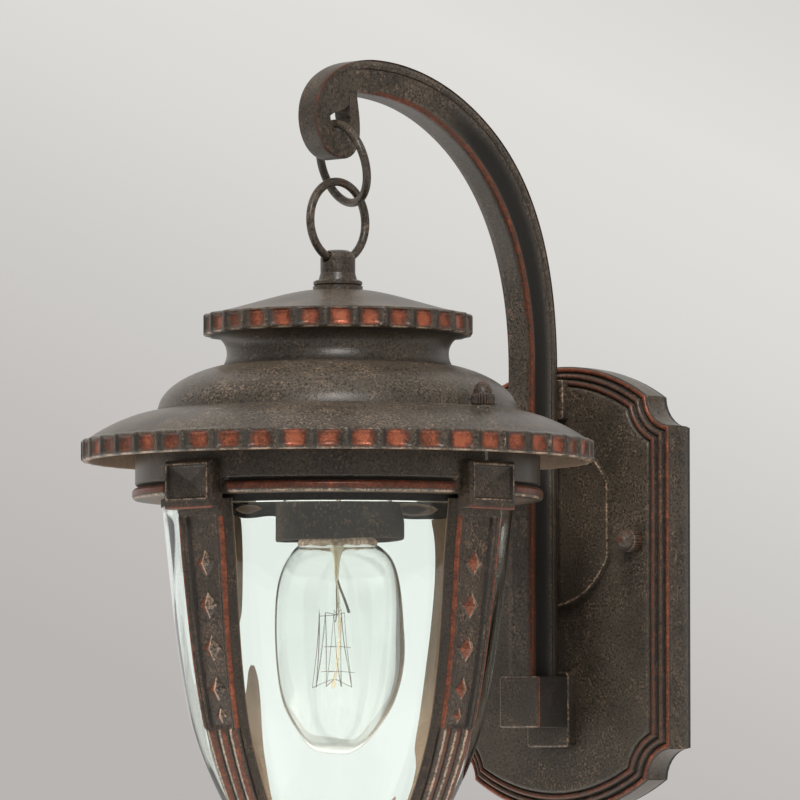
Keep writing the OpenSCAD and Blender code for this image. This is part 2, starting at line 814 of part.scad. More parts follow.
wall_plate();
wall_gasket();
mounting_bar();
plate_studs();
stud_lock_nuts();
earth_screw();
arm();
arm_screws();
plate_cap_nut_left();
plate_cap_nut_right();
upper_ring();
lower_ring();
top_loop();
loop_collar();
centre_pipe();
roof_cap();
roof();
pipe_washer();
pipe_nut();
cage_ring();
roof_studs();
roof_cap_nut_left();
roof_cap_nut_right();
strap_front();
strap_right();
strap_back();
strap_left();
strap_screws();
glass_gasket();
glass_shade();
bottom_hub();
finial();
socket_cup();
lamp_holder();
holder_shell();
holder_contact();
bulb_cap();
bulb_contact();
bulb_collar();
bulb_glass();
bulb_stem();
bulb_filament();
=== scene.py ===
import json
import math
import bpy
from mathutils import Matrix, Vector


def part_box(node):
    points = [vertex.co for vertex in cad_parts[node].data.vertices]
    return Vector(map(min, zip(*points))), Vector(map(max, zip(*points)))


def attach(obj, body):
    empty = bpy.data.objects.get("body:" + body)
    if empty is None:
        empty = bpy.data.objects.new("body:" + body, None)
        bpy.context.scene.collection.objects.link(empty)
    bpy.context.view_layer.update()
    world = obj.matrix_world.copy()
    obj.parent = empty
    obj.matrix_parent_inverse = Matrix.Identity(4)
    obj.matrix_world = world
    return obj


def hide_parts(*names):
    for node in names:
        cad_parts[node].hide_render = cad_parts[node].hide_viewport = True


bl_info = {
    "name": "Outdoor Wall Lantern",
    "version": (1, 0, 0),
    "blender": (4, 5, 0),
    "location": "3D View > Sidebar > Lantern",
    "description": "Builds a hanging wall lantern in weathered bronze around its fixed frame",
    "category": "Object",
}

import bmesh
import bpy
import numpy as np
from bpy.props import FloatProperty, FloatVectorProperty, IntProperty, PointerProperty
from mathutils import Vector

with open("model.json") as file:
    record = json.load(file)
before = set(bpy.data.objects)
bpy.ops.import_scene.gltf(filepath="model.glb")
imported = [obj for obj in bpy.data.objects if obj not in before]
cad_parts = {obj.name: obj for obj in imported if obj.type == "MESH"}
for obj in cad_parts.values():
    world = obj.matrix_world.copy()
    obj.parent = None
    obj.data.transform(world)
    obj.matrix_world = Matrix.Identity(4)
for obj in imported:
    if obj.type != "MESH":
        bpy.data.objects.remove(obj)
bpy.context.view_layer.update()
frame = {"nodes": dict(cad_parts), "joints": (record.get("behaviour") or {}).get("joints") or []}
# Masks on every point: worn copper with a painted sheen in the roof flutes, cream edges that are partly painted
# highlight, tan inside, and painted shade in grooves, creases and on faces turned from the light.
MASKS = ("wear", "pale", "inside", "dark")


def node_box(name):
    """The lowest and highest corner of a CAD node, in millimetres."""
    low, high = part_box(name)
    return np.array(low) * 1000, np.array(high) * 1000


# Places and sizes that come from the frame, in millimetres like every shape below
ROOF_LOW, ROOF_HIGH = node_box("roof")
CAP_LOW, CAP_HIGH = node_box("roof_cap")
RING_LOW, RING_HIGH = node_box("cage_ring")
HUB_LOW, HUB_HIGH = node_box("bottom_hub")
CUP_LOW, CUP_HIGH = node_box("socket_cup")
PLATE_LOW, PLATE_HIGH = node_box("wall_plate")
ARM_HIGH = node_box("arm")[1]
BULB_LOW, BULB_HIGH = node_box("bulb_glass")
STRAP_LOW, STRAP_HIGH = node_box("strap_front")
NUT_LOW, NUT_HIGH = node_box("roof_cap_nut_right")
FINIAL_LOW, FINIAL_HIGH = node_box("finial")
GLASS_HIGH = node_box("glass_shade")[1]
AXIS_Y = (ROOF_LOW[1] + ROOF_HIGH[1]) / 2
FACE_Y = ARM_HIGH[1]
ROOF_R = (ROOF_HIGH[0] - ROOF_LOW[0]) / 2
CAP_R = (CAP_HIGH[0] - CAP_LOW[0]) / 2
CAGE_R = 80.8
SHEET_T = 1.8
ROOF_NUT_X = 79
NUT_BORE_R = 2.05
WIRE_R = 1.7
UPPER_RING_R = 16.3
GLASS_T = 3.0
BULB_T = 0.9
VIEW_AZIMUTH = 43.5
TOWARDS_VIEW = math.radians(VIEW_AZIMUTH - 90)


# ---------- shapes ----------


def line(start, end, count, last=False):
    """Even steps from start to end, with or without the end itself."""
    t = np.linspace(0, 1, count, endpoint=last)[:, None]
    return (1 - t) * np.asarray(start, float) + t * np.asarray(end, float)


def bezier(points, count, last=False):
    """A cubic curve: (1-t)^3 p0 + 3t(1-t)^2 p1 + 3t^2(1-t) p2 + t^3 p3 at even steps of t."""
    a, b, c, d = np.asarray(points, float)
    t = np.linspace(0, 1, count, endpoint=last)[:, None]
    return (1 - t) ** 3 * a + 3 * t * (1 - t) ** 2 * b + 3 * t * t * (1 - t) * c + t**3 * d


def path(*parts):
    """Lines joined end to end."""
    return np.concatenate([np.atleast_2d(np.asarray(p, float)) for p in parts])


def rounded(corners, radius, steps=4, closed=True):
    """A line whose corners become parabolas that start and end `radius` away, or less if short."""
    p = np.asarray(corners, float)
    back, ahead = np.roll(p, 1, 0) - p, np.roll(p, -1, 0) - p
    if not closed:
        back[0], ahead[-1] = 0, 0

    def reach(side):
        size = np.maximum(np.linalg.norm(side, axis=1, keepdims=True), 1e-9)
        return p + side / size * np.minimum(radius, 0.45 * size)

    a, b = reach(back)[:, None], reach(ahead)[:, None]
    t = np.linspace(0, 1, steps)[None, :, None]
    return ((1 - t) ** 2 * a + 2 * t * (1 - t) * p[:, None] + t * t * b).reshape(-1, 2)


def beside(points, distance):
    """A line moved sideways, to the left of its direction."""
    step = np.gradient(points, axis=0)
    step /= np.maximum(np.linalg.norm(step, axis=1, keepdims=True), 1e-9)
    return points + distance * np.stack([-step[:, 1], step[:, 0]], 1)


def ease(value, low, high):
    """0 below low, 1 above high, and 3t^2 - 2t^3 between."""
    t = np.clip((np.asarray(value, float) - low) / (high - low), 0, 1)
    return t * t * (3 - 2 * t)


def sheet(points, along=False, around=True, ends=False, **masks):
    """A grid of points (rows, columns, 3) with its quads and masks; ends closes both end rows."""
    shape = points.shape[:2]
    masks = {name: np.broadcast_to(value, shape) for name, value in masks.items()}
    if ends:
        tips = [np.broadcast_to(points[i].mean(0), points[i].shape) for i in (0, -1)]
        points = np.concatenate([tips[:1], points, tips[1:]])
        masks = {name: np.concatenate([v[:1], v, v[-1:]]) for name, v in masks.items()}
    rows, columns = points.shape[:2]
    i = np.arange(rows if along else rows - 1)
    j = np.arange(columns if around else columns - 1)
    i, j = (g.ravel() for g in np.meshgrid(i, j, indexing="ij"))
    down, right = (i + 1) % rows * columns, (j + 1) % columns
    quads = np.stack([i * columns + j, i * columns + right, down + right, down + j], -1)
    return points.reshape(-1, 3), quads, {name: v.ravel() for name, v in masks.items()}


def spin(r, z, angles, centre=None):
    """Points (r cos a, r sin a, z) round the lantern's axis, or round another upright one."""
    r, z, a = np.broadcast_arrays(r, z, angles[None, :])
    x, y = (0, AXIS_Y) if centre is None else centre
    return np.stack([x + r * np.cos(a), y + r * np.sin(a), z], -1)


def turn_angles(count, start=0.0):
    """Even angles once round from start."""
    return start + np.arange(count) * 2 * math.pi / count


def add_piece(name, sheets, body, slot, replaces, finish=None, sharp=40):
    """Joins sheets into one smooth mesh in metres that rides on a body and stands for CAD nodes."""
    starts = np.cumsum([0] + [len(s[0]) for s in sheets])
    mesh = bpy.data.meshes.new(name)
    mesh.from_pydata(
        np.concatenate([s[0] for s in sheets]) / 1000,
        [],
        np.concatenate([s[1] + start for s, start in zip(sheets, starts)]),
    )
    for mask in MASKS:
        values = [s[2].get(mask, np.zeros(len(s[0]))) for s in sheets]
        layer = mesh.attributes.new(mask, "FLOAT", "POINT")
        layer.data.foreach_set("value", np.concatenate(values).astype(np.float32))
    work = bmesh.new()
    work.from_mesh(mesh)
    bmesh.ops.remove_doubles(work, verts=work.verts, dist=2e-6)
    bmesh.ops.recalc_face_normals(work, faces=work.faces)
    work.to_mesh(mesh)
    work.free()
    mesh.shade_smooth()
    mesh.set_sharp_from_angle(angle=math.radians(sharp))
    mesh.materials.append(FINISH[finish or slot])
    piece = bpy.data.objects.new(name, mesh)
    bpy.context.scene.collection.objects.link(piece)
    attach(piece, body)
    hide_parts(*replaces)
    return piece


# ---------- finishes ----------


FINISH = {}
GLASS_IOR = 1.46


def srgb(red, green, blue, alpha=1.0):
    """A screen colour of 0 to 255 as scene-linear values."""
    c = np.array([red, green, blue]) / 255
    return (*np.where(c <= 0.04045, c / 12.92, ((c + 0.055) / 1.055) ** 2.4).tolist(), alpha)


def add_node(tree, kind, inputs=None, **settings):
    """A node with its settings, and its inputs set to values or linked to sockets."""
    node = tree.nodes.new(kind)
    for key, value in settings.items():
        setattr(node, key, value)
    for key, value in (inputs or {}).items():
        if isinstance(value, bpy.types.NodeSocket):
            tree.links.new(value, node.inputs[key])
        else:
            node.inputs[key].default_value = value
    return node


def calc(tree, operation, *values):
    node = add_node(tree, "ShaderNodeMath", dict(enumerate(values)), operation=operation)
    return node.outputs[0]


def mixed(tree, factor, a, b):
    """Colour a where the factor is 0 and b where it is 1."""
    inputs = {0: factor, 6: a, 7: b}
    return add_node(tree, "ShaderNodeMix", inputs, data_type="RGBA").outputs[2]


def eased(tree, value, low, high):
    """0 below low and 1 above high, smooth between."""
    inputs = {"Value": value, "From Min": low, "From Max": high}
    return add_node(tree, "ShaderNodeMapRange", inputs, interpolation_type="SMOOTHSTEP").outputs[0]


def noise(tree, position, scale, detail=2.0, rough=0.5):
    inputs = {"Vector": position, "Scale": scale, "Detail": detail, "Roughness": rough}
    return add_node(tree, "ShaderNodeTexNoise", inputs).outputs[0]


def new_group(name, inputs, outputs):
    """A shader group with named sockets, returned with its input and output nodes."""
    tree = bpy.data.node_groups.new(name, "ShaderNodeTree")
    for direction, sockets in (("INPUT", inputs), ("OUTPUT", outputs)):
        for label, kind in sockets.items():
            tree.interface.new_socket(label, in_out=direction, socket_type="NodeSocket" + kind)
    return tree, tree.nodes.new("NodeGroupInput"), tree.nodes.new("NodeGroupOutput")


def make_weathered_coat():
    """Mottled paint, worn to copper on edges and in flutes with a painted sheen there, cream on the finest
    edges partly as painted highlight, tan inside, and painted shade.
    """
    tree, given, result = new_group(
        "weathered_coat",
        {"Position": "Vector", "Wear": "Float", "Pale": "Float", "Inside": "Float", "Dark": "Float",
         "Body": "Color", "Fleck": "Color", "Fleck Amount": "Float", "Copper": "Color", "Satin": "Float"},
        {"Color": "Color", "Roughness": "Float", "Metallic": "Float", "Height": "Float"},
    )
    g = given.outputs
    fine = noise(tree, g["Position"], 1050, 2, 0.6)
    coarse = noise(tree, g["Position"], 240, 3, 0.65)
    broad = noise(tree, g["Position"], 38, 2)
    blend = calc(tree, "ADD", calc(tree, "MULTIPLY", fine, 0.7), calc(tree, "MULTIPLY", coarse, 0.3))
    patches = calc(tree, "ADD", 0.35, eased(tree, noise(tree, g["Position"], 85, 3, 0.6), 0.42, 0.62))
    amount = calc(tree, "MULTIPLY", patches, g["Fleck Amount"])
    fleck = calc(tree, "MULTIPLY", eased(tree, blend, 0.515, 0.64), amount)
    pit = calc(tree, "MULTIPLY", eased(tree, fine, 0.47, 0.37), 0.85)
    shade = mixed(tree, eased(tree, broad, 0.3, 0.7), srgb(205, 205, 205), srgb(255, 255, 255))
    body = add_node(tree, "ShaderNodeMix", {0: 1.0, 6: g["Body"], 7: shade},
                    data_type="RGBA", blend_type="MULTIPLY").outputs[2]
    body = mixed(tree, pit, body, srgb(22, 18, 14))
    body = mixed(tree, fleck, body, g["Fleck"])
    tan = mixed(tree, coarse, srgb(104, 84, 66), srgb(150, 128, 106))
    body = mixed(tree, g["Inside"], body, tan)
    ragged = calc(tree, "MULTIPLY", calc(tree, "SUBTRACT", coarse, 0.5), 0.8)
    speckled = calc(tree, "MULTIPLY", calc(tree, "SUBTRACT", fine, 0.5), 0.8)
    uneven = calc(tree, "ADD", ragged, speckled)
    # How much copper shows: real rubbing plus, in the roof flutes, a painted sheen.
    rub_and_sheen = calc(tree, "ADD", g["Wear"], uneven)
    worn = eased(tree, rub_and_sheen, 0.25, 0.6)
    # Copper from dim to bright with that amount; across a flute this paints its shading and sheen.
    metal = mixed(tree, eased(tree, rub_and_sheen, 0.5, 1.1), srgb(86, 52, 40), g["Copper"])
    color = mixed(tree, worn, body, metal)
    # Cream: chipped finest edges, and painted highlights on ridges, lips, frames and facets turned to the
    # light.
    chips_and_highlight = eased(tree, calc(tree, "ADD", g["Pale"], uneven), 0.3, 0.8)
    bright = calc(tree, "MULTIPLY", chips_and_highlight, 0.85)
    color = mixed(tree, bright, color, srgb(176, 150, 128))
    # Painted shade: near black where grooves, creases, coves and faces turned from the light are marked.
    color = mixed(tree, g["Dark"], color, srgb(17, 14, 11))
    gloss = calc(tree, "ADD", g["Satin"], calc(tree, "MULTIPLY", blend, 0.26))
    matt = calc(tree, "MAXIMUM", g["Inside"], g["Dark"])
    links = {
        "Color": color,
        "Roughness": calc(tree, "ADD", gloss, calc(tree, "MULTIPLY", matt, 0.4)),
        "Metallic": calc(tree, "MULTIPLY", worn, 0.5),
        "Height": calc(tree, "ADD", blend, calc(tree, "MULTIPLY", worn, -0.3)),
    }
    for label, socket in links.items():
        tree.links.new(socket, result.inputs[label])
    return tree


def new_material(name):
    material = bpy.data.materials.new(name)
    material.use_nodes = True
    tree = material.node_tree
    return material, tree, tree.nodes["Principled BSDF"]


def worn_bronze(name, body, fleck, copper, amount, satin=0.26, bump=0.35):
    """The weathered coat on one family of castings, reading that casting's own masks."""
    material, tree, shader = new_material(name)
    coat = add_node(tree, "ShaderNodeGroup", node_tree=bpy.data.node_groups["weathered_coat"])
    place = add_node(tree, "ShaderNodeTexCoord")
    tree.links.new(place.outputs["Object"], coat.inputs["Position"])
    for mask in MASKS:
        source = add_node(tree, "ShaderNodeAttribute", attribute_name=mask)
        tree.links.new(source.outputs["Fac"], coat.inputs[mask.capitalize()])
    values = {"Body": body, "Fleck": fleck, "Copper": copper, "Fleck Amount": amount, "Satin": satin}
    for label, value in values.items():
        coat.inputs[label].default_value = value
    relief = add_node(tree, "ShaderNodeBump", {"Strength": bump, "Distance": 0.0003,
                                               "Height": coat.outputs["Height"]})
    targets = {"Color": "Base Color", "Roughness": "Roughness", "Metallic": "Metallic"}
    for label, target in targets.items():
        tree.links.new(coat.outputs[label], shader.inputs[target])
    tree.links.new(relief.outputs[0], shader.inputs["Normal"])
    return material


def plain_finish(name, color, other, scale, metallic=0.0, roughness=0.4, bump=0.1):
    """Two close colours under fine noise, for small fittings."""
    material, tree, shader = new_material(name)
    place = add_node(tree, "ShaderNodeTexCoord")
    grain = noise(tree, place.outputs["Object"], scale, 3, 0.6)
    color = mixed(tree, eased(tree, grain, 0.35, 0.65), srgb(*color), srgb(*other))
    tree.links.new(color, shader.inputs["Base Color"])
    shader.inputs["Metallic"].default_value = metallic
    spread = calc(tree, "ADD", roughness, calc(tree, "MULTIPLY", grain, 0.15))
    tree.links.new(spread, shader.inputs["Roughness"])
    relief = add_node(tree, "ShaderNodeBump", {"Strength": bump, "Distance": 0.0002, "Height": grain})
    tree.links.new(relief.outputs[0], shader.inputs["Normal"])
    return material


def clear_glass(name, color, ior, ripple=0.0, scale=60.0):
    """Clear glass, its surface gently uneven where ripple is above 0."""
    material, tree, shader = new_material(name)
    shader.inputs["Base Color"].default_value = color
    shader.inputs["Roughness"].default_value = 0.0
    shader.inputs["IOR"].default_value = ior
    shader.inputs["Transmission Weight"].default_value = 1.0
    if ripple:
        place = add_node(tree, "ShaderNodeTexCoord")
        stretch = add_node(tree, "ShaderNodeMapping", {"Vector": place.outputs["Object"],
                                                       "Scale": (1.0, 1.0, 0.35)})
        wave = noise(tree, stretch.outputs[0], scale, 1)
        relief = add_node(tree, "ShaderNodeBump", {"Strength": ripple, "Distance": 0.004, "Height": wave})
        tree.links.new(relief.outputs[0], shader.inputs["Normal"])
    return material


def make_finishes(settings):
    """Fills FINISH with every material, by the name of its slot in the record."""
    make_weathered_coat()
    paint, strap_paint, copper, tint = (
        (*color, 1.0)
        for color in (settings.paint, settings.strap_paint, settings.copper, settings.glass_tint)
    )
    coats = (
        ("weathered_bronze", paint, srgb(98, 82, 67), copper, 0.56, 0.24),
        ("strap_bronze", strap_paint, srgb(104, 84, 68), copper, 0.68, 0.26),
        ("nut_bronze", srgb(60, 49, 41), srgb(104, 84, 68), copper, 0.45, 0.3, 0.5),
        ("cup_bronze", srgb(48, 39, 31), srgb(108, 86, 66), copper, 0.9, 0.5),
    )
    FINISH.update({coat[0]: worn_bronze(*coat) for coat in coats})
    FINISH.update({
        name: plain_finish(name, *values) for name, *values in (
            ("gasket_foam", (30, 30, 30), (44, 44, 43), 900, 0, 0.75, 0.4),
            ("zinc_steel", (150, 150, 146), (188, 187, 180), 500, 0.9, 0.3),
            ("earth_green", (38, 110, 58), (52, 132, 70), 400, 0.4, 0.35),
            ("porcelain", (232, 228, 216), (241, 238, 228), 220, 0, 0.18, 0.05),
            ("brass_plate", (196, 158, 84), (222, 188, 112), 500, 0.95, 0.25),
            ("bulb_cap_metal", (196, 194, 188), (224, 222, 216), 500, 0.95, 0.25),
            ("cream_cement", (226, 204, 180), (158, 128, 108), 520, 0, 0.6, 0.5),
            ("filament_wire", (74, 66, 56), (112, 98, 82), 1500, 0.7, 0.4),
            ("stem_glass", (238, 228, 200), (222, 206, 168), 260, 0, 0.15, 0.2),
        )
    })
    FINISH["shade_glass"] = clear_glass("shade_glass", tint, GLASS_IOR, 0.03)
    FINISH["bulb_glass"] = clear_glass("bulb_glass", (0.985, 0.995, 0.985, 1.0), GLASS_IOR)


# ---------- castings round the axis ----------


def joined(parts):
    """Joins profile parts, each a line with its weights, into one line and one column per weight."""
    points = np.concatenate([p[0] for p in parts])
    weights = {
        key: np.concatenate([np.broadcast_to(w.get(key, 0.0), len(p)) for p, w in parts])[:, None]
        for key in ("flute", "band", "lip", "inside", "dark", "top")
    }
    return points[:, :1], points[:, 1:], weights


def fluted_shell(parts, flutes, start, depth, per_flute):
    """A shell spun from a closed profile whose band is cut by hollows.

    Across a flute u runs from -1 to 1, and the radius drops by depth * (1 - |u / 0.84|^2.6),
    times the profile's own flute weight.
    """
    r, z, weight = joined(parts)
    angles = turn_angles(flutes * per_flute, start)
    count = (angles - start) * flutes / (2 * math.pi)
    u = 2 * ((count + 0.5) % 1) - 1
    hollow = np.clip(1 - np.abs(u / 0.84) ** 2.6, 0, 1)[None, :]
    number = np.floor(count + 0.5)
    # Painted sheen: copper grows in flutes turned towards the viewer, as if light caught them; the sine of the
    # flute number is a real difference from flute to flute.
    sheen_by_facing = np.maximum(0.6 + 0.42 * np.cos(angles - TOWARDS_VIEW - 0.3), 0.45)
    copper_and_sheen = (sheen_by_facing * (0.86 + 0.14 * np.sin(number * 2.4)))[None, :]
    points = spin(r - depth * weight["flute"] * hollow, z, angles)
    band = weight["band"]
    return sheet(
        points, along=True,
        # Copper fills each flute, brightest at its middle, so the fall to the ridges paints the hollow's
        # shading.
        wear=1.15 * band * np.clip(1 - (u / 0.84) ** 2, 0, 1)[None, :] ** 0.85 * copper_and_sheen,
        # Cream on the lower lip is worn edge and painted highlight; the strip on one side of each ridge is
        # painted highlight.
        pale=weight["lip"] * (0.3 + 0.3 * hollow) + band * 0.42 * ease(u, 0.8, 0.95)[None, :],
        inside=weight["inside"],
        # Painted shade on the other side of each ridge, plus any the profile gives.
        dark=band * 0.75 * (ease(-u, 0.6, 0.76) * ease(-u, 1.0, 0.86))[None, :] + weight["dark"],
    )


def band_parts(radius, top, foot, wall):
    """The fluted band's outside from its top lip down and in under it, with soft lips."""
    height = np.linspace(0, 1, 13)
    side = np.stack([np.full(13, radius), top - 1 - height * (top - foot - 2)], 1)
    flute = 0.45 + 0.55 * np.clip(np.minimum(height, 1 - height) / 0.12, 0, 1)
    return [
        (path((radius - 1.5, top), (radius - 0.7, top - 0.12), (radius - 0.15, top - 0.5)),
         {"flute": 0.45, "lip": 0.25}),
        (side, {"flute": flute, "band": 0.55 + 0.45 * np.sin(np.pi * height) ** 0.5}),
        (path((radius - 0.15, foot + 0.5), (radius - 0.7, foot + 0.1), (radius - 1.4, foot)),
         {"flute": 0.45, "lip": 1.0}),
        (path((radius - wall + 0.6, foot), (radius - wall, foot + 0.6)), {"inside": 1.0}),
    ]


def make_roof(settings):
    """The dome, its shoulder and flange, and the fluted rim under it; a flat seat under each nut."""
    top, foot = ROOF_HIGH[2], ROOF_LOW[2]
    rim_top = top - 29.6
    outer = path(
        line((5, top), (47, top), 8),
        bezier([(47, top), (57, top - 2), (71, top - 8), (71.9, top - 17.6)], 26),
        bezier([(72.3, top - 18.1), (80, top - 18.8), (92, top - 23.5), (ROOF_R - 2.4, rim_top)], 34),
    )
    under = beside(outer, -SHEET_T)[::-1]
    parts = [
        (outer, {"top": 1.0}),
        *band_parts(ROOF_R, rim_top, foot, 3.6),
        (under[2::2], {"inside": 1.0}),
    ]
    per_flute = 16
    points, quads, masks = fluted_shell(
        parts, settings.roof_flutes, settings.roof_turn, settings.flute_depth * 1000, per_flute
    )
    seat = NUT_LOW[2] - 0.02
    tops = np.repeat(joined(parts)[2]["top"][:, 0], settings.roof_flutes * per_flute) > 0.5
    for x in (-ROOF_NUT_X, ROOF_NUT_X):
        away = np.hypot(points[:, 0] - x, points[:, 1] - AXIS_Y)
        near = ease(away, 6.6, 5.6) * tops
        points[:, 2] += near * (seat - points[:, 2])
    # Painted shade along the crease where the dome meets the flange.
    crease = ease(np.abs(points[:, 2] - (top - 17.9)), 0.5, 0.1)
    masks["dark"] = masks["dark"] + 0.25 * crease * tops
    add_piece("roof_casting", [(points, quads, masks)], "lantern", "weathered_bronze", ["roof"])


def make_cap(settings):
    """The cap over the roof: a shallow dome, a fluted rim and a hollow neck below it."""
    top, foot = CAP_HIGH[2], CAP_LOW[2]
    rim_top, rim_foot = top - 9.8, top - 18.2
    dome = path(
        line((5, top), (10, top), 2),
        bezier([(12, top - 0.1), (24, top - 1.5), (36, top - 6.5), (CAP_R - 2.4, rim_top)], 24),
    )
    neck = bezier([(CAP_R - 4, rim_foot), (45, rim_foot - 0.8), (42.5, foot + 5), (46, foot)], 22, True)
    inner_neck = beside(neck, -SHEET_T)[::-1]
    inner_neck[:, 1] = np.maximum(inner_neck[:, 1], foot + 0.02)
    height = neck[:, 1]
    # Painted shade on the neck under the rim and just above its foot.
    shaded = 0.35 * ease(height, rim_foot - 2, rim_foot) + 0.35 * ease(height, foot + 2.4, foot)
    parts = [
        (dome, {"top": 1.0}),
        *band_parts(CAP_R, rim_top, rim_foot, 3.4)[:3],
        (neck, {"dark": shaded}),
        (inner_neck, {"inside": 1.0}),
        (beside(dome, -SHEET_T)[::-1][:-1], {"inside": 1.0}),
    ]
    surface = fluted_shell(
        parts, settings.cap_flutes, settings.cap_turn, settings.flute_depth * 1000, 20
    )
    add_piece("cap_casting", [surface], "lantern", "weathered_bronze", ["roof_cap"])


def make_cage_ring():
    """The ring that carries the straps: a band, a groove and a lip that fades beside each strap."""
    foot, top = RING_LOW[2], RING_HIGH[2]
    edge = rounded([
        (62, foot), (CAGE_R + 0.4, foot), (CAGE_R + 1.2, foot + 1.2), (CAGE_R + 1.2, foot + 3.4),
        (CAGE_R + 0.3, foot + 4.4), (CAGE_R - 1.4, foot + 4.7), (CAGE_R - 1.2, foot + 5.3),
        (CAGE_R, foot + 6), (CAGE_R, top), (CAGE_R - 2.8, top), (CAGE_R - 2.8, foot + 2), (62, foot + 2),
    ], 0.5)
    angles = turn_angles(480)
    r, z = edge[:, :1], edge[:, 1:]
    from_strap = np.abs((np.degrees(angles) + 45) % 90 - 45)[None, :]
    shown = ease(from_strap, 10.6, 12.6)
    rest = np.where((z < foot + 5.6) & (r > CAGE_R - 2), CAGE_R - 0.3, r)
    outside = r > CAGE_R + 0.2
    lip = outside * shown
    groove = (r < CAGE_R - 0.6) & (z > foot + 4) & (z < foot + 6) & (r > CAGE_R - 2)
    add_piece("cage_ring_casting", [sheet(
        spin(rest + (r - rest) * shown, z, angles), along=True,
        # Copper worn on the lip, cream on its lower edge as worn edge and painted highlight, painted shade in
        # the groove.
        wear=0.62 * lip * ease(z, foot + 0.9, foot + 1.6),
        pale=0.5 * lip * ease(z, foot + 1.3, foot + 0.7),
        inside=1.0 * (r < CAGE_R - 2.5),
        dark=0.8 * shown * groove,
    )], "lantern", "weathered_bronze", ["cage_ring"])


def make_cup():
    """The socket cup, a slightly tapered drum with a soft shoulder."""
    foot, top = CUP_LOW[2], CUP_HIGH[2]
    r = (CUP_HIGH[0] - CUP_LOW[0]) / 2
    edge = rounded([
        (5, top), (r - 1.2, top), (r - 0.6, top - 6), (r, foot), (r - 1.6, foot), (r - 2.4, top - 2.2),
        (5, top - 2.2),
    ], 1.0, 5)
    angles = turn_angles(160)
    low = ease(edge[:, 1:], foot + 1.4, foot)
    sway = 1 + 0.004 * low * np.sin(3 * angles + 1)[None, :]
    sag = 0.3 * low * np.sin(2 * angles + 2)[None, :]
    # Cream on the lower edge, worn edge and painted highlight.
    drum = sheet(spin(edge[:, :1] * sway, edge[:, 1:] + sag, angles), along=True, pale=0.25 * low)
    add_piece("cup_casting", [drum], "lantern", "weathered_bronze", ["socket_cup"], "cup_bronze")


# ---------- straps ----------


def strap_relief(x, half, z):
    """Height of the strap's face above its plain line at x across and z up, with its masks: worn copper, cream
    edges and painted highlights, and painted shade.

    A panel is sunk between double-beaded rails, with a row of four-pointed studs in it, and below
    the panel three reeds run down to the foot.
    """
    u = x / half
    side = np.abs(u)
    panel = ease(z, -78.6, -77.2) * ease(z, 5.2, 4.2)
    floor = 1 - ease(side, 0.6, 0.67)
    fine = np.where(side < 0.8, 0.35 * np.cos((side - 0.745) / 0.055 * 1.57), 0)
    outer = 0.75 * np.sqrt(np.clip(1 - ((side - 0.905) / 0.1) ** 2, 0, 1))
    rails = np.where(side > 0.67, np.maximum(np.clip(fine, 0, 1), outer), 0) - 0.35
    height = panel * (rails - 1.25 * floor)
    stud = np.zeros(np.broadcast(x, z).shape)
    for middle, reach in ((-13.5, 5.2), (-30, 5.2), (-46.8, 5.2), (-62.8, 4.8), (-73.2, 3.2)):
        a, b = np.abs(x) / reach, np.abs(z - middle) / (reach + 0.4)
        stud = np.maximum(stud, reach * 0.5 * np.clip(1 - a**0.97 - b**0.97, 0, 1))
    height = height + stud
    c = 2 * (((u + 1) * 1.5) % 1) - 1
    reed = 1.6 * np.sqrt(np.clip(1 - 0.98 * c * c, 0, 1)) - 1.35
    height = height + (1 - panel) * np.where(z < 0, reed, 0)
    height = height - 0.7 * ease(side, 0.95, 1.0)
    low = (1 - panel) * (z < 0)
    wear = panel * (0.72 * ease(side, 0.86, 0.9) + (x < 0) * ease(stud, 0.05, 0.6) * 0.72)
    wear = wear + low * (0.62 * ease(c, -0.1, 0.15) * ease(c, 0.85, 0.6) + 0.3 * ease(side, 0.93, 0.98))
    # Cream on the left part of each reed and on the inner bead is painted highlight.
    pale = low * 0.6 * ease(np.abs(c + 0.3), 0.35, 0.1)
    pale = pale + panel * 0.22 * ease(np.abs(side - 0.745), 0.03, 0.01)
    # Painted light: the studs' middle ridge and right facets are made cream, as if lit from the right.
    pale = pale + 0.42 * (np.abs(x) < 0.5) * (stud > 0.15) + 0.42 * (x > 0) * (stud > 0.12)
    # Painted shade at the panel's edges, in the grooves between reeds and between the two beads.
    dark = panel * 0.75 * ease(np.abs(side - 0.63), 0.06, 0.02) + low * 0.7 * ease(np.abs(c), 0.8, 0.95)
    dark = dark + panel * 0.6 * ease(np.abs(side - 0.8), 0.02, 0.008)
    return height, np.clip(wear, 0, 1), np.clip(pale, 0, 1), np.clip(dark, 0, 1)


def section_loop(front, side, back):
    """Across and depth fractions of a closed section: face, right side, back and left side."""
    across = np.concatenate([
        np.linspace(-1, 1, front), np.ones(side), np.linspace(1, -1, back), -np.ones(side),
    ])
    inwards = np.linspace(0, 1, side + 2)[1:-1]
    depth = np.concatenate([np.zeros(front), inwards, np.ones(back), inwards[::-1]])
    return across[None, :], depth[None, :]


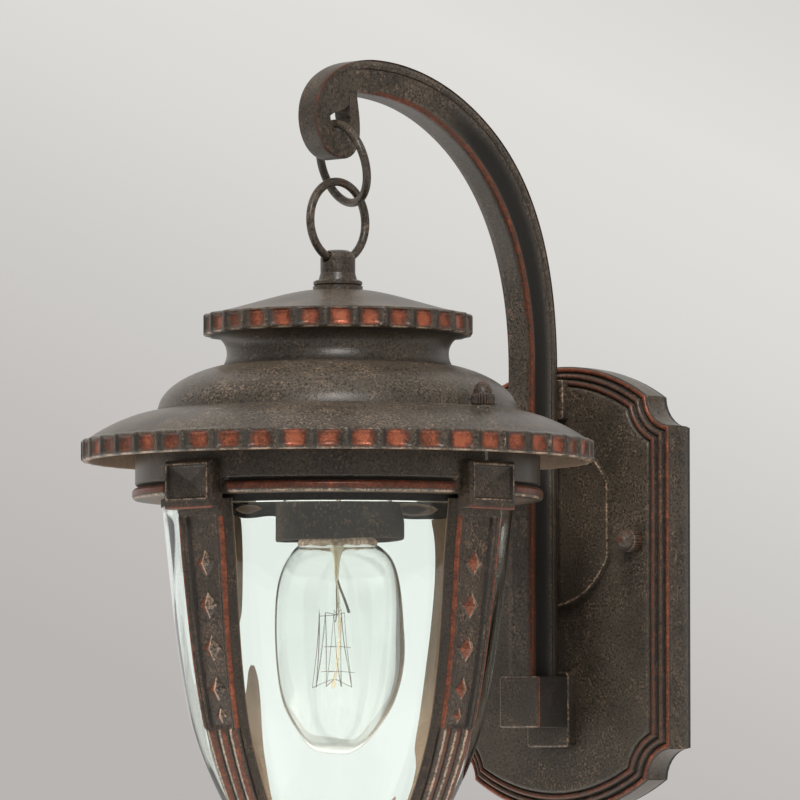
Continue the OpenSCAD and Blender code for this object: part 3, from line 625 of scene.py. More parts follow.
def strap_sheets():
    """One strap as x across, r out from the axis and z up: the bar and its top block."""
    hub_r = (HUB_HIGH[0] - HUB_LOW[0]) / 2
    knee = (66.8, -73)
    top = STRAP_HIGH[2]
    foot_z = top - 19
    bar = path(
        line((CAGE_R - 2.6, foot_z + 4), (CAGE_R - 2.8, foot_z), 4),
        bezier([(CAGE_R - 2.8, foot_z), (CAGE_R - 6.3, -18), (CAGE_R - 7, -42), knee], 300),
        bezier([knee, (61.5, -96.5), (40, -143), (hub_r - 2, -156)], 130, True),
    )
    ahead = np.gradient(bar, axis=0)
    ahead /= np.linalg.norm(ahead, axis=1, keepdims=True)
    out_r, out_z = -ahead[:, 1:], ahead[:, :1]
    across, depth = section_loop(81, 7, 11)
    half = np.interp(bar[:, 1], [-170, -110, -10, 20], [7.2, 8, 12, 12])[:, None]
    x, z = across * half, bar[:, 1:]
    height, wear, pale, dark = strap_relief(x, half, z + 0 * x)
    face = depth == 0
    lift = np.where(face, height, -0.5 * ease(depth, 0.4, 0) - 7 * depth)
    r = bar[:, :1] + out_r * lift
    bar_points = np.stack([x * (1 - 0.02 * (depth > 0.9)), r, z + out_z * lift], -1)
    edge = (depth > 0) & (depth < 0.2)
    # Painted shade on the strap's sides; the inner back is tan.
    bar_sheet = sheet(
        bar_points, ends=True, wear=np.where(face, wear, 0.5 * edge), pale=np.where(face, pale, 0),
        dark=np.where(face, dark, 0.35 * (depth > 0.1) * (depth < 0.9)), inside=1.0 * (depth > 0.9),
    )
    face_r, back_r = -STRAP_LOW[1] + AXIS_Y, CAGE_R - 2.2
    tall = top - foot_z
    rows = np.concatenate([[0, 0.15, 0.5], np.linspace(1, tall - 1, 46), tall - np.array([0.5, 0.15, 0])])
    across, depth = section_loop(65, 8, 9)
    half_w = (STRAP_HIGH[0] - STRAP_LOW[0]) / 2
    z = foot_z + rows[:, None]
    from_end = np.minimum(rows, tall - rows).clip(0, 1)
    tuck = 0.6 * (1 - np.sqrt(np.clip(1 - (1 - from_end) ** 2, 0, 1)))[:, None]
    x = across * half_w
    middle = foot_z + 10.6
    a, b = np.abs(x) / 10.6, np.abs(z - middle) / 6.3
    inner = np.maximum(a, b)
    rim = np.maximum(np.abs(x) - 11.1, np.abs(z - middle) - 6.9)
    frame_up = 0.75 * ease(np.abs(rim), 0.75, 0.45)
    sunk = -1.3 * np.clip(1 - inner, 0, 1) - 0.35 * (inner < 1)
    relief = frame_up + np.where(inner < 1, sunk, 0) - 0.7 * ease(np.abs(across), 0.965, 1.0)
    front = depth == 0
    lift = np.where(front, relief - 0.75, -0.75 - 0.5 * ease(depth, 0.2, 0))
    r = face_r + lift - depth * (face_r - back_r) - tuck * front
    squeeze = 1 - (tuck / half_w) * (depth < 0.5)
    lower = ease(rows[:, None], 1.5, 0.7) * front
    # Painted shadow over the upper half of the sunk pyramid, under its frame.
    upper = 0.25 * (inner < 1) * ease(z - middle, -1, 3)
    block_sheet = sheet(
        np.stack([x * squeeze, r, z + 0 * x], -1), ends=True,
        wear=np.clip(0.62 * lower + 0.25 * (np.abs(across) > 0.97) * (depth < 0.3), 0, 1),
        # Painted highlight on the raised frame, and painted shade round the pyramid's edge.
        pale=0.5 * front * ease(np.abs(rim), 0.5, 0.25),
        dark=front * (0.65 * ease(np.abs(inner - 1.0), 0.06, 0.02) + upper),
    )
    return bar_sheet, block_sheet


def make_straps():
    """The four straps, the same sheets turned by quarters about the axis."""
    names = ("front", "right", "back", "left")
    for quarter, name in enumerate(names):
        a = quarter * math.pi / 2
        turned = []
        for points, quads, masks in strap_sheets():
            x, r, z = points.T
            along_x = x * math.cos(a) + r * math.sin(a)
            along_y = AXIS_Y + x * math.sin(a) - r * math.cos(a)
            turned.append((np.stack([along_x, along_y, z], 1), quads, masks))
        add_piece(f"strap_{name}_casting", turned, "lantern", "strap_bronze", [f"strap_{name}"])


# ---------- wall plate and arm ----------


def plate_outline(inset):
    """Straight sides, scooped corners and arched ends, moved inwards by inset.

    Arch and scoop are two circles, and meet where they cross.
    """
    half_w = (PLATE_HIGH[0] - PLATE_LOW[0]) / 2
    middle = (PLATE_HIGH[2] + PLATE_LOW[2]) / 2
    rise, scoop_r = 13.9, 12.6
    scoop = scoop_r + inset
    side = (PLATE_HIGH[2] - PLATE_LOW[2]) / 2 - rise
    chord = half_w - scoop_r
    arch_r = (chord**2 + rise**2) / (2 * rise)
    arch_c = side + rise - arch_r
    apart = math.hypot(half_w, side - arch_c)
    opening = math.acos((apart**2 + scoop**2 - (arch_r - inset) ** 2) / (2 * apart * scoop))
    last = math.pi + math.atan2(side - arch_c, half_w) - opening
    a = np.linspace(math.pi + math.acos(inset / scoop), last, 14)
    corner = np.stack([half_w + scoop * np.cos(a), side + scoop * np.sin(a)], 1)
    half = math.asin(corner[-1, 0] / (arch_r - inset))
    b = np.linspace(half, 0, 22)[1:-1]
    arch = np.stack([(arch_r - inset) * np.sin(b), arch_c + (arch_r - inset) * np.cos(b)], 1)
    rise_side = line((half_w - inset, 0), corner[0], 24)[1:]
    quarter = path((half_w - inset, 0), rise_side, corner, arch)
    tip = [(0.0, arch_c + arch_r - inset)]
    half_turn = path(quarter, tip, quarter[::-1] * (-1, 1))
    loop = path(half_turn, half_turn[1:-1][::-1] * (1, -1))
    return loop + (0, middle)


def stack(outline, levels):
    """One row of points for each level, the outline at that level's inset and depth y."""
    return np.stack([np.insert(outline(inset), 1, y, axis=1) for inset, y in levels])


def box_outline(x, z, half_w, half_h, corner):
    """A rectangle about (x, z) with round corners, as a function of its inset."""
    def outline(inset):
        r = max(corner - inset, 0.2)
        a = np.linspace(0, math.pi / 2, 6)
        w, h = half_w - inset - r, half_h - inset - r
        first = np.stack([w + r * np.cos(a), h + r * np.sin(a)], 1)
        upper = path(first, first[::-1] * (-1, 1))
        return path(upper, upper[::-1] * (1, -1)) + (x, z)
    return outline


def slab(outline, back, front, edge):
    """Levels of a slab from y = back to y = front whose front edge is rounded by `edge`."""
    a = np.linspace(0, math.pi / 2, 6)
    turn = np.sign(front - back)
    rim = np.stack([edge * (1 - np.cos(a)), front - turn * edge * (1 - np.sin(a))], 1)
    sides = path((0, back), (0, back + 0.4 * (front - back)))
    return stack(outline, path(sides, rim, (edge + 0.9, front), (edge + 1.4, front)))


def make_wall_plate():
    """The cast plate: a hollow back, a wall, three reeds that step up to the field, and a boss."""
    back = PLATE_HIGH[1]
    field = FACE_Y + 0.01
    centre, top = [], []
    for middle, crest in ((1.35, -13.9), (4.2, -15.2), (7.05, -16.5)):
        a = np.linspace(math.pi * 0.96, math.pi * 0.04, 9)
        centre.append(middle + 1.15 * np.cos(a))
        top.append(crest + 1.5 - 1.5 * np.sin(a))
    reeds = np.stack([np.concatenate(centre), np.concatenate(top)], 1)
    levels = path(
        (9, -12.6), (8, -12.6), (7, -12), (3.4, -8), (3, back), (0.5, back), (0.25, back - 0.4),
        (0, -6), (0, -12.4), reeds, (8.5, -15.9), (8.9, field + 0.25), (9.4, field), (10.5, field), (14, field),
    )
    inset = levels[:, :1]
    number = np.digitize(inset, [2.75, 5.6, 8.4])
    front = levels[:, 1:] < -12.3
    before = 9
    crest = np.isin(np.arange(len(levels)), before + np.arange(len(reeds)))[:, None]
    pitch = 2.85
    from_crest = np.abs(((inset - 1.35) / pitch + 0.5) % 1 - 0.5) * pitch
    groove = crest * ease(from_crest, 0.85, 1.1)
    outer = crest * (number == 0)
    middle = crest * (number == 1)
    inner = crest * (number == 2)
    # Copper worn on the reed crests, cream on them as worn edge and painted highlight, and painted shade in the
    # grooves and along the step to the field.
    plate = sheet(
        stack(plate_outline, levels), ends=True,
        wear=(outer * 0.66 + inner * 0.5 + middle * 0.4) * (1 - groove),
        pale=(middle * 0.26 + inner * 0.14) * (1 - groove),
        dark=np.clip(0.5 * groove + 0.6 * front * (inset > 8.2) * (inset < 8.8), 0, 1),
    )
    boss_z, boss_half, boss_r = 8.8, 31.6, 35

    def boss_outline(shrink):
        a = turn_angles(180)
        r = boss_r - shrink
        x = np.clip(r * np.cos(a), -boss_half + shrink, boss_half - shrink)
        return np.stack([x, boss_z + r * np.sin(a)], 1)

    face = PLATE_LOW[1]
    boss_levels = path(
        (0, field + 1), (0, field - 1.2), (0.25, face + 0.2), (0.7, face), (1.6, face), (4, face),
    )
    arris = (boss_levels[:, :1] > 0.1) & (boss_levels[:, :1] < 1)
    # The boss's arris: worn copper and a cream line that is partly painted highlight.
    boss = sheet(stack(boss_outline, boss_levels), ends=True, wear=0.3 * arris, pale=0.46 * arris)
    add_piece("plate_casting", [plate, boss], "wall_bracket", "weathered_bronze", ["wall_plate"])


def arm_rails():
    """The outer and inner edge of the arm as (distance from the plate, height), point for point.

    The strip rises, arches over, comes down the front of the eye, curls under it and ends as a tip
    that a slit parts from the arch.
    """
    outer = path(
        line((3.6, -60), (4, 70), 24),
        bezier([(4, 70), (4, 112), (14, 145), (41, 167)], 34),
        bezier([(41, 167), (60, 182.5), (84, 191.5), (110, 191.3)], 34),
        bezier([(110, 191.3), (127, 191.2), (146, 183.5), (145.8, 167)], 36),
        bezier([(145.8, 167), (145.8, 158), (140, 150.2), (131, 150)], 18),
        bezier([(131, 150), (125, 149.8), (119.6, 154.5), (119.8, 163)], 18),
        bezier([(119.8, 163), (119.8, 170), (121.4, 173), (121.6, 178.4)], 14, True),
    )
    eye_r, eye_centre = 6.2, np.array([131.4, 166.8])
    a = np.linspace(0, -math.pi, 36, endpoint=False)
    inner = path(
        line((20.5, -60), (20.5, 72), 24),
        bezier([(20.5, 72), (20.8, 120), (41, 145.5), (59.5, 159)], 34),
        bezier([(59.5, 159), (77, 171.5), (96, 176.8), (116, 176.9)], 34),
        line((116, 176.9), (127.0, 177.4), 10),
        line((127.0, 177.4), (127.1, 172.2), 10),
        bezier([(127.1, 172.2), (128.0, 169.2), (134.0, 169.2), (137.6, 166.8)], 16),
        eye_centre + eye_r * np.stack([np.cos(a), np.sin(a)], 1),
        bezier([(125.2, 166.8), (125.9, 168), (125.9, 172), (125.9, 178.4)], 14, True),
    )
    return outer, inner


def make_arm():
    """A strip lofted between its two rails, moulded on both sides, with its foot block and pads."""
    outer, inner = arm_rails()
    reach = outer[:, :1]
    station = np.arange(len(outer))[:, None]
    tip = ease(station, 146, 166)
    half = np.interp(inner[:, 0], [0, 20, 100, 150], [6.6, 6.6, 5.2, 5.2])[:, None] - 0.9 * tip
    v = np.concatenate([
        [0, 0, 0, 0.008, 0.03, 0.06, 0.09], np.linspace(0.11, 0.43, 15),
        [0.445, 0.46, 0.475, 0.49, 0.505], np.linspace(0.53, 0.93, 8), [0.96, 0.98, 0.992, 1, 1, 1],
    ])
    x = np.concatenate([
        [0, 0.5, 0.9, 0.965, 0.992, 1, 1], np.ones(28), [0.995, 0.985, 0.965, 0.9, 0.5, 0],
    ])
    before_hook = station < 105
    moulded = ease(reach, 84, 34) * before_hook
    groove = ease(reach, 132, 112) * before_hook
    cove = np.sin(np.pi * np.clip((v - 0.1) / 0.34, 0, 1)) ** 0.7 * (v < 0.45)
    cut = np.exp(-(((v - 0.5) / 0.014) ** 2))
    crown = np.clip((v - 0.55) / 0.45, 0, 1) ** 2
    depth = 2.0 * cove[None] * moulded + 0.55 * cut[None] * groove + 0.9 * crown[None] * groove
    offset = x[None] * half - depth * (x[None] > 0.95)
    across = np.concatenate([offset, -offset[:, ::-1][:, 1:-1]], 1)
    along = np.concatenate([v, v[::-1][1:-1]])[None]
    drift = (0.28 - 0.06 * ease(reach, 40, 110)) * before_hook
    place = along + drift * (4 * along * (1 - along)) ** 2
    both = [(1 - place) * inner[:, i, None] + place * outer[:, i, None] for i in (0, 1)]
    points = np.stack([across, FACE_Y - both[0], both[1]], -1)
    corner = np.concatenate([x, x[::-1][1:-1]])[None]
    near_inner = (along < 0.1) & (corner > 0.85)
    near_outer = (along > 0.95) & (corner > 0.85)
    right_side = 0.6 + 0.4 * (across > 0)
    bead = (1 - ease(reach, 95, 125)) * before_hook * right_side
    hook = ease(station, 96, 108) * ease(station, 152, 138)
    arris = (corner > 0.85) & (corner < 0.999)
    wear = near_inner * 0.54 * bead + (near_outer & arris) * (0.33 + 0.13 * hook) * right_side
    wear = wear + 0.42 * (along > 0.46) * (along < 0.5) * groove
    # A faint cream line on the hook's outer edge, worn edge and painted highlight.
    pale = 0.12 * near_outer * hook
    hollow, line_cut = (np.concatenate([w, w[::-1][1:-1]])[None] for w in (cove, cut))
    # Painted shade: near black in the cove and the cut line, and darker over the hook.
    dark = 1.2 * hollow**0.7 * moulded**1.6 + 0.85 * line_cut * groove + 0.3 * hook
    wear, dark = np.clip(wear, 0, 1), np.clip(dark, 0, 1)
    pieces = [sheet(points, ends=True, wear=wear, pale=pale, dark=dark)]
    pads = (
        (59.3, 8.4, 8.2, 1.2, 0, 3.6, 0.7), (-65.5, 11, 10.5, 1.0, 3, 21.1, 0.8),
        (-68.5, 11.5, 15.5, 1.8, 0, 3.9, 0.9),
    )
    for z, half_w, half_h, corner_r, back, front, edge in pads:
        outline = box_outline(0, z, half_w, half_h, corner_r)
        grid = slab(outline, FACE_Y - back, FACE_Y - front, edge)
        rim = np.zeros((len(grid), 1))
        rim[3:7] = 1
        # Painted shade on the foot block's +X side; round every rim, copper and a cream line that is partly
        # painted highlight.
        flank = ease(grid[..., 0], 10.2, 10.8) * (half_w < 11.2)
        pieces.append(sheet(
            grid, ends=True, wear=(0.3 + 0.35 * flank) * rim, pale=0.4 * rim * (1 - flank),
            dark=0.75 * flank * (1 - rim),
        ))
    add_piece("arm_casting", pieces, "wall_bracket", "weathered_bronze", ["arm"])


# ---------- rings, nuts, hub and finial ----------


def make_ring(name, centre, side, up, radius, wire):
    """A round wire ring: centre + (R + w cos b)(side cos a + up sin a) + w sin b (side x up)."""
    side, up = np.array(side, float), np.array(up, float)
    a, b = turn_angles(160)[:, None], turn_angles(28)[None, :]
    wobble = 1 + 0.015 * np.sin(3 * a + 1)
    out = radius + wire * wobble * np.cos(b)
    radial = np.cos(a)[..., None] * side + np.sin(a)[..., None] * up
    points = np.array(centre) + out[..., None] * radial
    points = points + (wire * wobble * np.sin(b))[..., None] * np.cross(side, up)
    rub = ease(np.sin(a), 0.93, 0.995) + ease(-np.sin(a), 0.93, 0.995)
    wire_sheet = sheet(points, along=True, wear=0.35 * rub + 0 * b)
    add_piece(f"{name}_wire", [wire_sheet], name, "weathered_bronze", [name])


def make_rings():
    """The upper ring leans in the hook's eye and the lower one hangs square below it."""
    turn, lean = math.radians(-14.6), math.radians(17)
    side = np.array([math.cos(turn), math.sin(turn), 0])
    across = math.sin(lean)
    up = np.array([math.sin(turn) * across, -math.cos(turn) * across, math.cos(lean)])
    top = frame_point("upper_ring_swing") * (0, 1, 1)
    make_ring("upper_ring", top - UPPER_RING_R * up, side, up, UPPER_RING_R, WIRE_R)
    low, high = node_box("lower_ring")
    radius = (high[2] - low[2]) / 2 - WIRE_R
    make_ring("lower_ring", (low + high) / 2, (0, 1, 0), (0, 0, 1), radius, WIRE_R)


def frame_point(joint):
    """A joint's place in millimetres."""
    found = next(j for j in frame["joints"] if j["name"] == joint)
    return np.array(found["pos_m"]) * 1000


def nut_sheet(height, radius):
    """A cap nut on z = 0: a knurled skirt under a dome, bored from below. Rows of (r, z)."""
    bore = NUT_BORE_R
    a = np.linspace(0, math.pi / 2, 14)
    dome = np.stack([0.82 * radius * np.cos(a), height * (0.5 + 0.5 * np.sin(a))], 1)
    skirt = rounded([(bore, 0), (radius - 0.3, 0), (radius, 0.5), (radius, height * 0.42),
                     (radius * 0.86, height * 0.5)], 0.4, 4, False)
    profile = path((0, height * 0.75), (bore, height * 0.75), skirt, dome)
    angles = turn_angles(144)
    knurl = np.abs(np.sin(angles * 12))[None, :] ** 0.7
    on_skirt = ((profile[:, 0] > radius * 0.93) & (profile[:, 1] < height * 0.45))[:, None]
    r = profile[:, :1] - 0.45 * on_skirt * (1 - knurl)
    r, z, a = np.broadcast_arrays(r, profile[:, 1:], angles[None, :])
    worn = 0.5 * ease(z, height * 0.86, height) + 0.3 * on_skirt * knurl
    return np.stack([r * np.cos(a), r * np.sin(a), z], -1), worn


def make_nuts():
    """Four cap nuts: two upright on the roof, two lying along -Y on the wall plate."""
    height = NUT_HIGH[2] - NUT_LOW[2]
    points, worn = nut_sheet(height, (NUT_HIGH[1] - NUT_LOW[1]) / 2)
    for side in ("left", "right"):
        low, high = node_box(f"roof_cap_nut_{side}")
        foot = np.array([(low[0] + high[0]) / 2, AXIS_Y, low[2]])
        add_piece(f"roof_nut_{side}_turned", [sheet(points + foot, wear=worn)],
                  f"roof_nut_{side}", "nut_bronze", [f"roof_cap_nut_{side}"])
        low, high = node_box(f"plate_cap_nut_{side}")
        x, y, z = np.moveaxis(points, -1, 0)
        lying = np.stack([x + (low[0] + high[0]) / 2, high[1] - z, y], -1)
        add_piece(f"plate_nut_{side}_turned", [sheet(lying, wear=worn)],
                  f"plate_nut_{side}", "nut_bronze", [f"plate_cap_nut_{side}"])


def make_foot():
    """The hub that the straps run into, and the turned finial under it."""
    top, foot = HUB_HIGH[2], HUB_LOW[2]
    r = (HUB_HIGH[0] - HUB_LOW[0]) / 2
    seat = FINIAL_HIGH[2]
    edge = path((0, top), rounded([
        (r - 2, top), (r, top - 1.5), (r, top - 4), (r - 1.2, top - 5), (r, top - 6), (r, top - 10.4),
        (r - 2, top - 12), (r - 5, seat + 0.02), (2, seat + 0.02), (2, foot + 0.2), (0.5, foot),
    ], 0.7, 4, False), (0, foot))
    angles = turn_angles(120)
    groove = (edge[:, 1:] < top - 4.2) & (edge[:, 1:] > top - 5.8)
    worn = 0.5 * ease(np.abs(edge[:, 1:] - top + 8), 2.6, 2.0)
    # Painted shade in the groove round the hub.
    hub = sheet(spin(edge[:, :1], edge[:, 1:], angles), wear=worn, dark=0.5 * groove)
    add_piece("hub_casting", [hub], "lantern", "weathered_bronze", ["bottom_hub"])
    tip = FINIAL_LOW[2]
    turned = path(
        (0, seat - 10), (NUT_BORE_R, seat - 10), (NUT_BORE_R, seat), (7.2, seat),
        bezier([(7.5, seat - 1), (9.5, seat - 3), (4, seat - 4.5), (4.6, seat - 6)], 14),
        bezier([(4.6, seat - 6), (7.8, seat - 9), (5, tip + 2.5), (0.4, tip)], 18, True), (0, tip),
    )
    z = turned[:, 1:]
    worn = 0.85 * ease(np.abs(z - seat + 9.5), 3, 1.5)
    add_piece("finial_turned", [sheet(spin(turned[:, :1], z, angles), wear=worn)],
              "finial", "nut_bronze", ["finial"])


# ---------- glass and lamp ----------


def make_glass():
    """The blown shade, its wall rippled more inside than out.

    The ripple is a sum of sines of the angle that drift with height.
    """
    rim = GLASS_HIGH[2]
    knee = (59.3, -70)
    side = path(
        bezier([(70, rim), (67, -14), (65.6, -38), knee], 44),
        bezier([knee, (54.8, -93), (35.5, -131.5), (16, -143.5)], 40),
        line((16, -143.5), (6, -144.6), 5, True),
    )
    inner = beside(side, -GLASS_T)[::-1]
    inner[:, 1] = np.minimum(inner[:, 1], rim - 0.2)
    profile = path(side, inner)
    angles = turn_angles(256)
    a, z = angles[None, :], profile[:, 1:]
    wave = (0.5 * np.sin(7 * a + 1.3 * np.sin(z / 23)) + 0.35 * np.sin(12 * a + z / 31 + 2)
            + 0.25 * np.sin(19 * a - z / 17) + 0.2 * np.sin(5 * a + z / 11))
    amount = np.where(np.arange(len(profile)) < len(side), 0.14, -0.3)[:, None]
    still = ease(z, rim - 1, rim - 8) * ease(profile[:, :1], 10, 22)
    blown = sheet(spin(profile[:, :1] + amount * wave * still, z, angles), along=True)
    shade = add_piece("shade_blown", [blown], "lantern", "shade_glass", ["glass_shade"], sharp=60)
    shade.visible_shadow = False


def tube(points, radius, sides=12, squash=1.0, twist=0.0):
    """A tube along a line: each ring lies across the line, its section an ellipse that may twist."""
    points = np.asarray(points, float)
    ahead = np.gradient(points, axis=0)
    ahead /= np.linalg.norm(ahead, axis=1, keepdims=True)
    lies_flat = abs(ahead[:, 2]).mean() < 0.8
    side = np.cross(ahead, (0.31, 0.2, 0.93) if lies_flat else (0.9, 0.43, 0.05))
    side /= np.linalg.norm(side, axis=1, keepdims=True)
    other = np.cross(ahead, side)
    a = turn_angles(sides)[None, :] + np.linspace(0, twist, len(points))[:, None]
    radius = np.broadcast_to(radius, len(points))[:, None]
    u, v = radius * np.cos(a), radius * squash * np.sin(a)
    turn = np.linspace(0, twist, len(points))[:, None]
    u, v = u * np.cos(turn) - v * np.sin(turn), u * np.sin(turn) + v * np.cos(turn)
    rings = points[:, None] + u[..., None] * side[:, None] + v[..., None] * other[:, None]
    return sheet(rings, ends=True)


def make_bulb():
    """The lamp's blown envelope, its glass stem, leads and the fine cage of filament."""
    neck = BULB_HIGH[2]
    tip = BULB_LOW[2]
    wide = (BULB_HIGH[0] - BULB_LOW[0]) / 2
    side = path(
        bezier([(14.6, neck), (wide - 4, neck - 5), (wide, neck - 14), (wide, neck - 30)], 26),
        bezier([(wide, neck - 30), (wide, neck - 58), (wide - 7, tip), (0, tip)], 44, True),
    )
    inner = beside(side, -BULB_T)
    inner[-1] = (0, tip + BULB_T)
    inner[0, 1] = neck
    profile = path(side[::-1], inner)
    angles = turn_angles(128)
    profile[:, 0] = np.maximum(profile[:, 0], 0)
    bow = 0.012 * np.sin(2 * angles)[None, :] * np.sin((profile[:, 1:] - tip) / 26)
    envelope = sheet(spin(profile[:, :1] * (1 + bow), profile[:, 1:], angles))
    blown = add_piece("bulb_blown", [envelope], "bulb", "bulb_glass", ["bulb_glass"], sharp=60)
    blown.visible_shadow = False
    azimuth = math.radians(VIEW_AZIMUTH)
    right = np.array([math.cos(azimuth), math.sin(azimuth), 0])
    into = np.array([-right[1], right[0], 0])

    def at(across, z, deep=0.0):
        return np.array([0, AXIS_Y, z]) + across * right + deep * into

    def curve(*controls, count=24):
        return bezier([at(*c) for c in controls], count, True)

    flare = path((0, neck + 2), (4.4, neck + 2), (3.6, neck - 1.2), (2.1, neck - 4), (1.5, neck - 7),
                 (1.2, neck - 12), (0.9, neck - 14), (0, neck - 14.5))
    stem = [
        sheet(spin(flare[:, :1], flare[:, 1:], turn_angles(40))),
        tube(curve((0, neck - 12), (1.5, neck - 24), (3.4, neck - 34), (-1.4, neck - 57.5)),
             np.linspace(1.0, 0.75, 24), 12, 0.7, 14.0),
    ]
    add_piece("bulb_stem_drawn", stem, "bulb", "stem_glass", ["bulb_stem"])
    wires = [
        tube(curve((0.4, neck - 13), (2, neck - 18), (4.4, neck - 20), (6.1, neck - 27)), 0.62, 8),
        tube(curve((0.2, neck - 12), (-0.6, neck - 20), (1.2, neck - 25), (-0.4, neck - 31)), 0.32, 8),
    ]
    count = 9
    high, low = neck - 27, neck - 57
    for i in range(count):
        a, b = 2 * math.pi * i / count, 2 * math.pi * (i + 0.5) / count
        up = at(-2.4 + 6.6 * math.cos(a), high - 1.5 * math.sin(a * 3), 6.6 * math.sin(a))
        down = at(-2.4 + 7.4 * math.cos(b), low, 7.4 * math.sin(b))
        after = at(-2.4 + 6.6 * math.cos(a + 0.7), high, 6.6 * math.sin(a + 0.7))
        wires.append(tube(line(up, down, 8, True), 0.1, 6))
        if i < count - 1:
            wires.append(tube(line(down, after, 8, True), 0.1, 6))
        if i % 2 == 0:
            wires.append(tube(line(at(0.4, high - 1), up, 6, True), 0.14, 6))
            wires.append(tube(line(at(-0.6, low + 3), down, 6, True), 0.14, 6))
    for height, reach in ((neck - 41, 6.9), (neck - 51, 7.4)):
        for i in range(0, count, 3):
            a = 2 * math.pi * (i + 0.4) / count
            end = at(-1 + reach * math.cos(a), height + 0.8 * math.sin(i), reach * math.sin(a))
            wires.append(tube(line(at(0.8, height), end, 6, True), 0.12, 6))
    add_piece("bulb_wires", wires, "bulb", "filament_wire", ["bulb_filament"])
    band = rounded([(12.4, neck + 3), (14.4, neck + 2.4), (15.3, neck + 0.9), (14.9, neck - 0.9),
                    (12.6, neck - 0.4)], 0.7, 4)
    ragged = turn_angles(120)
    lumps = 0.3 * np.sin(11 * ragged) + 0.2 * np.sin(23 * ragged + 1)
    rough = (band[:, 1:] < neck) * lumps[None, :]
    cement = sheet(spin(band[:, :1], band[:, 1:] + rough, ragged), along=True)
    add_piece("bulb_neck_cement", [cement], "bulb", "cream_cement", ["bulb_collar"])


# ---------- stage ----------


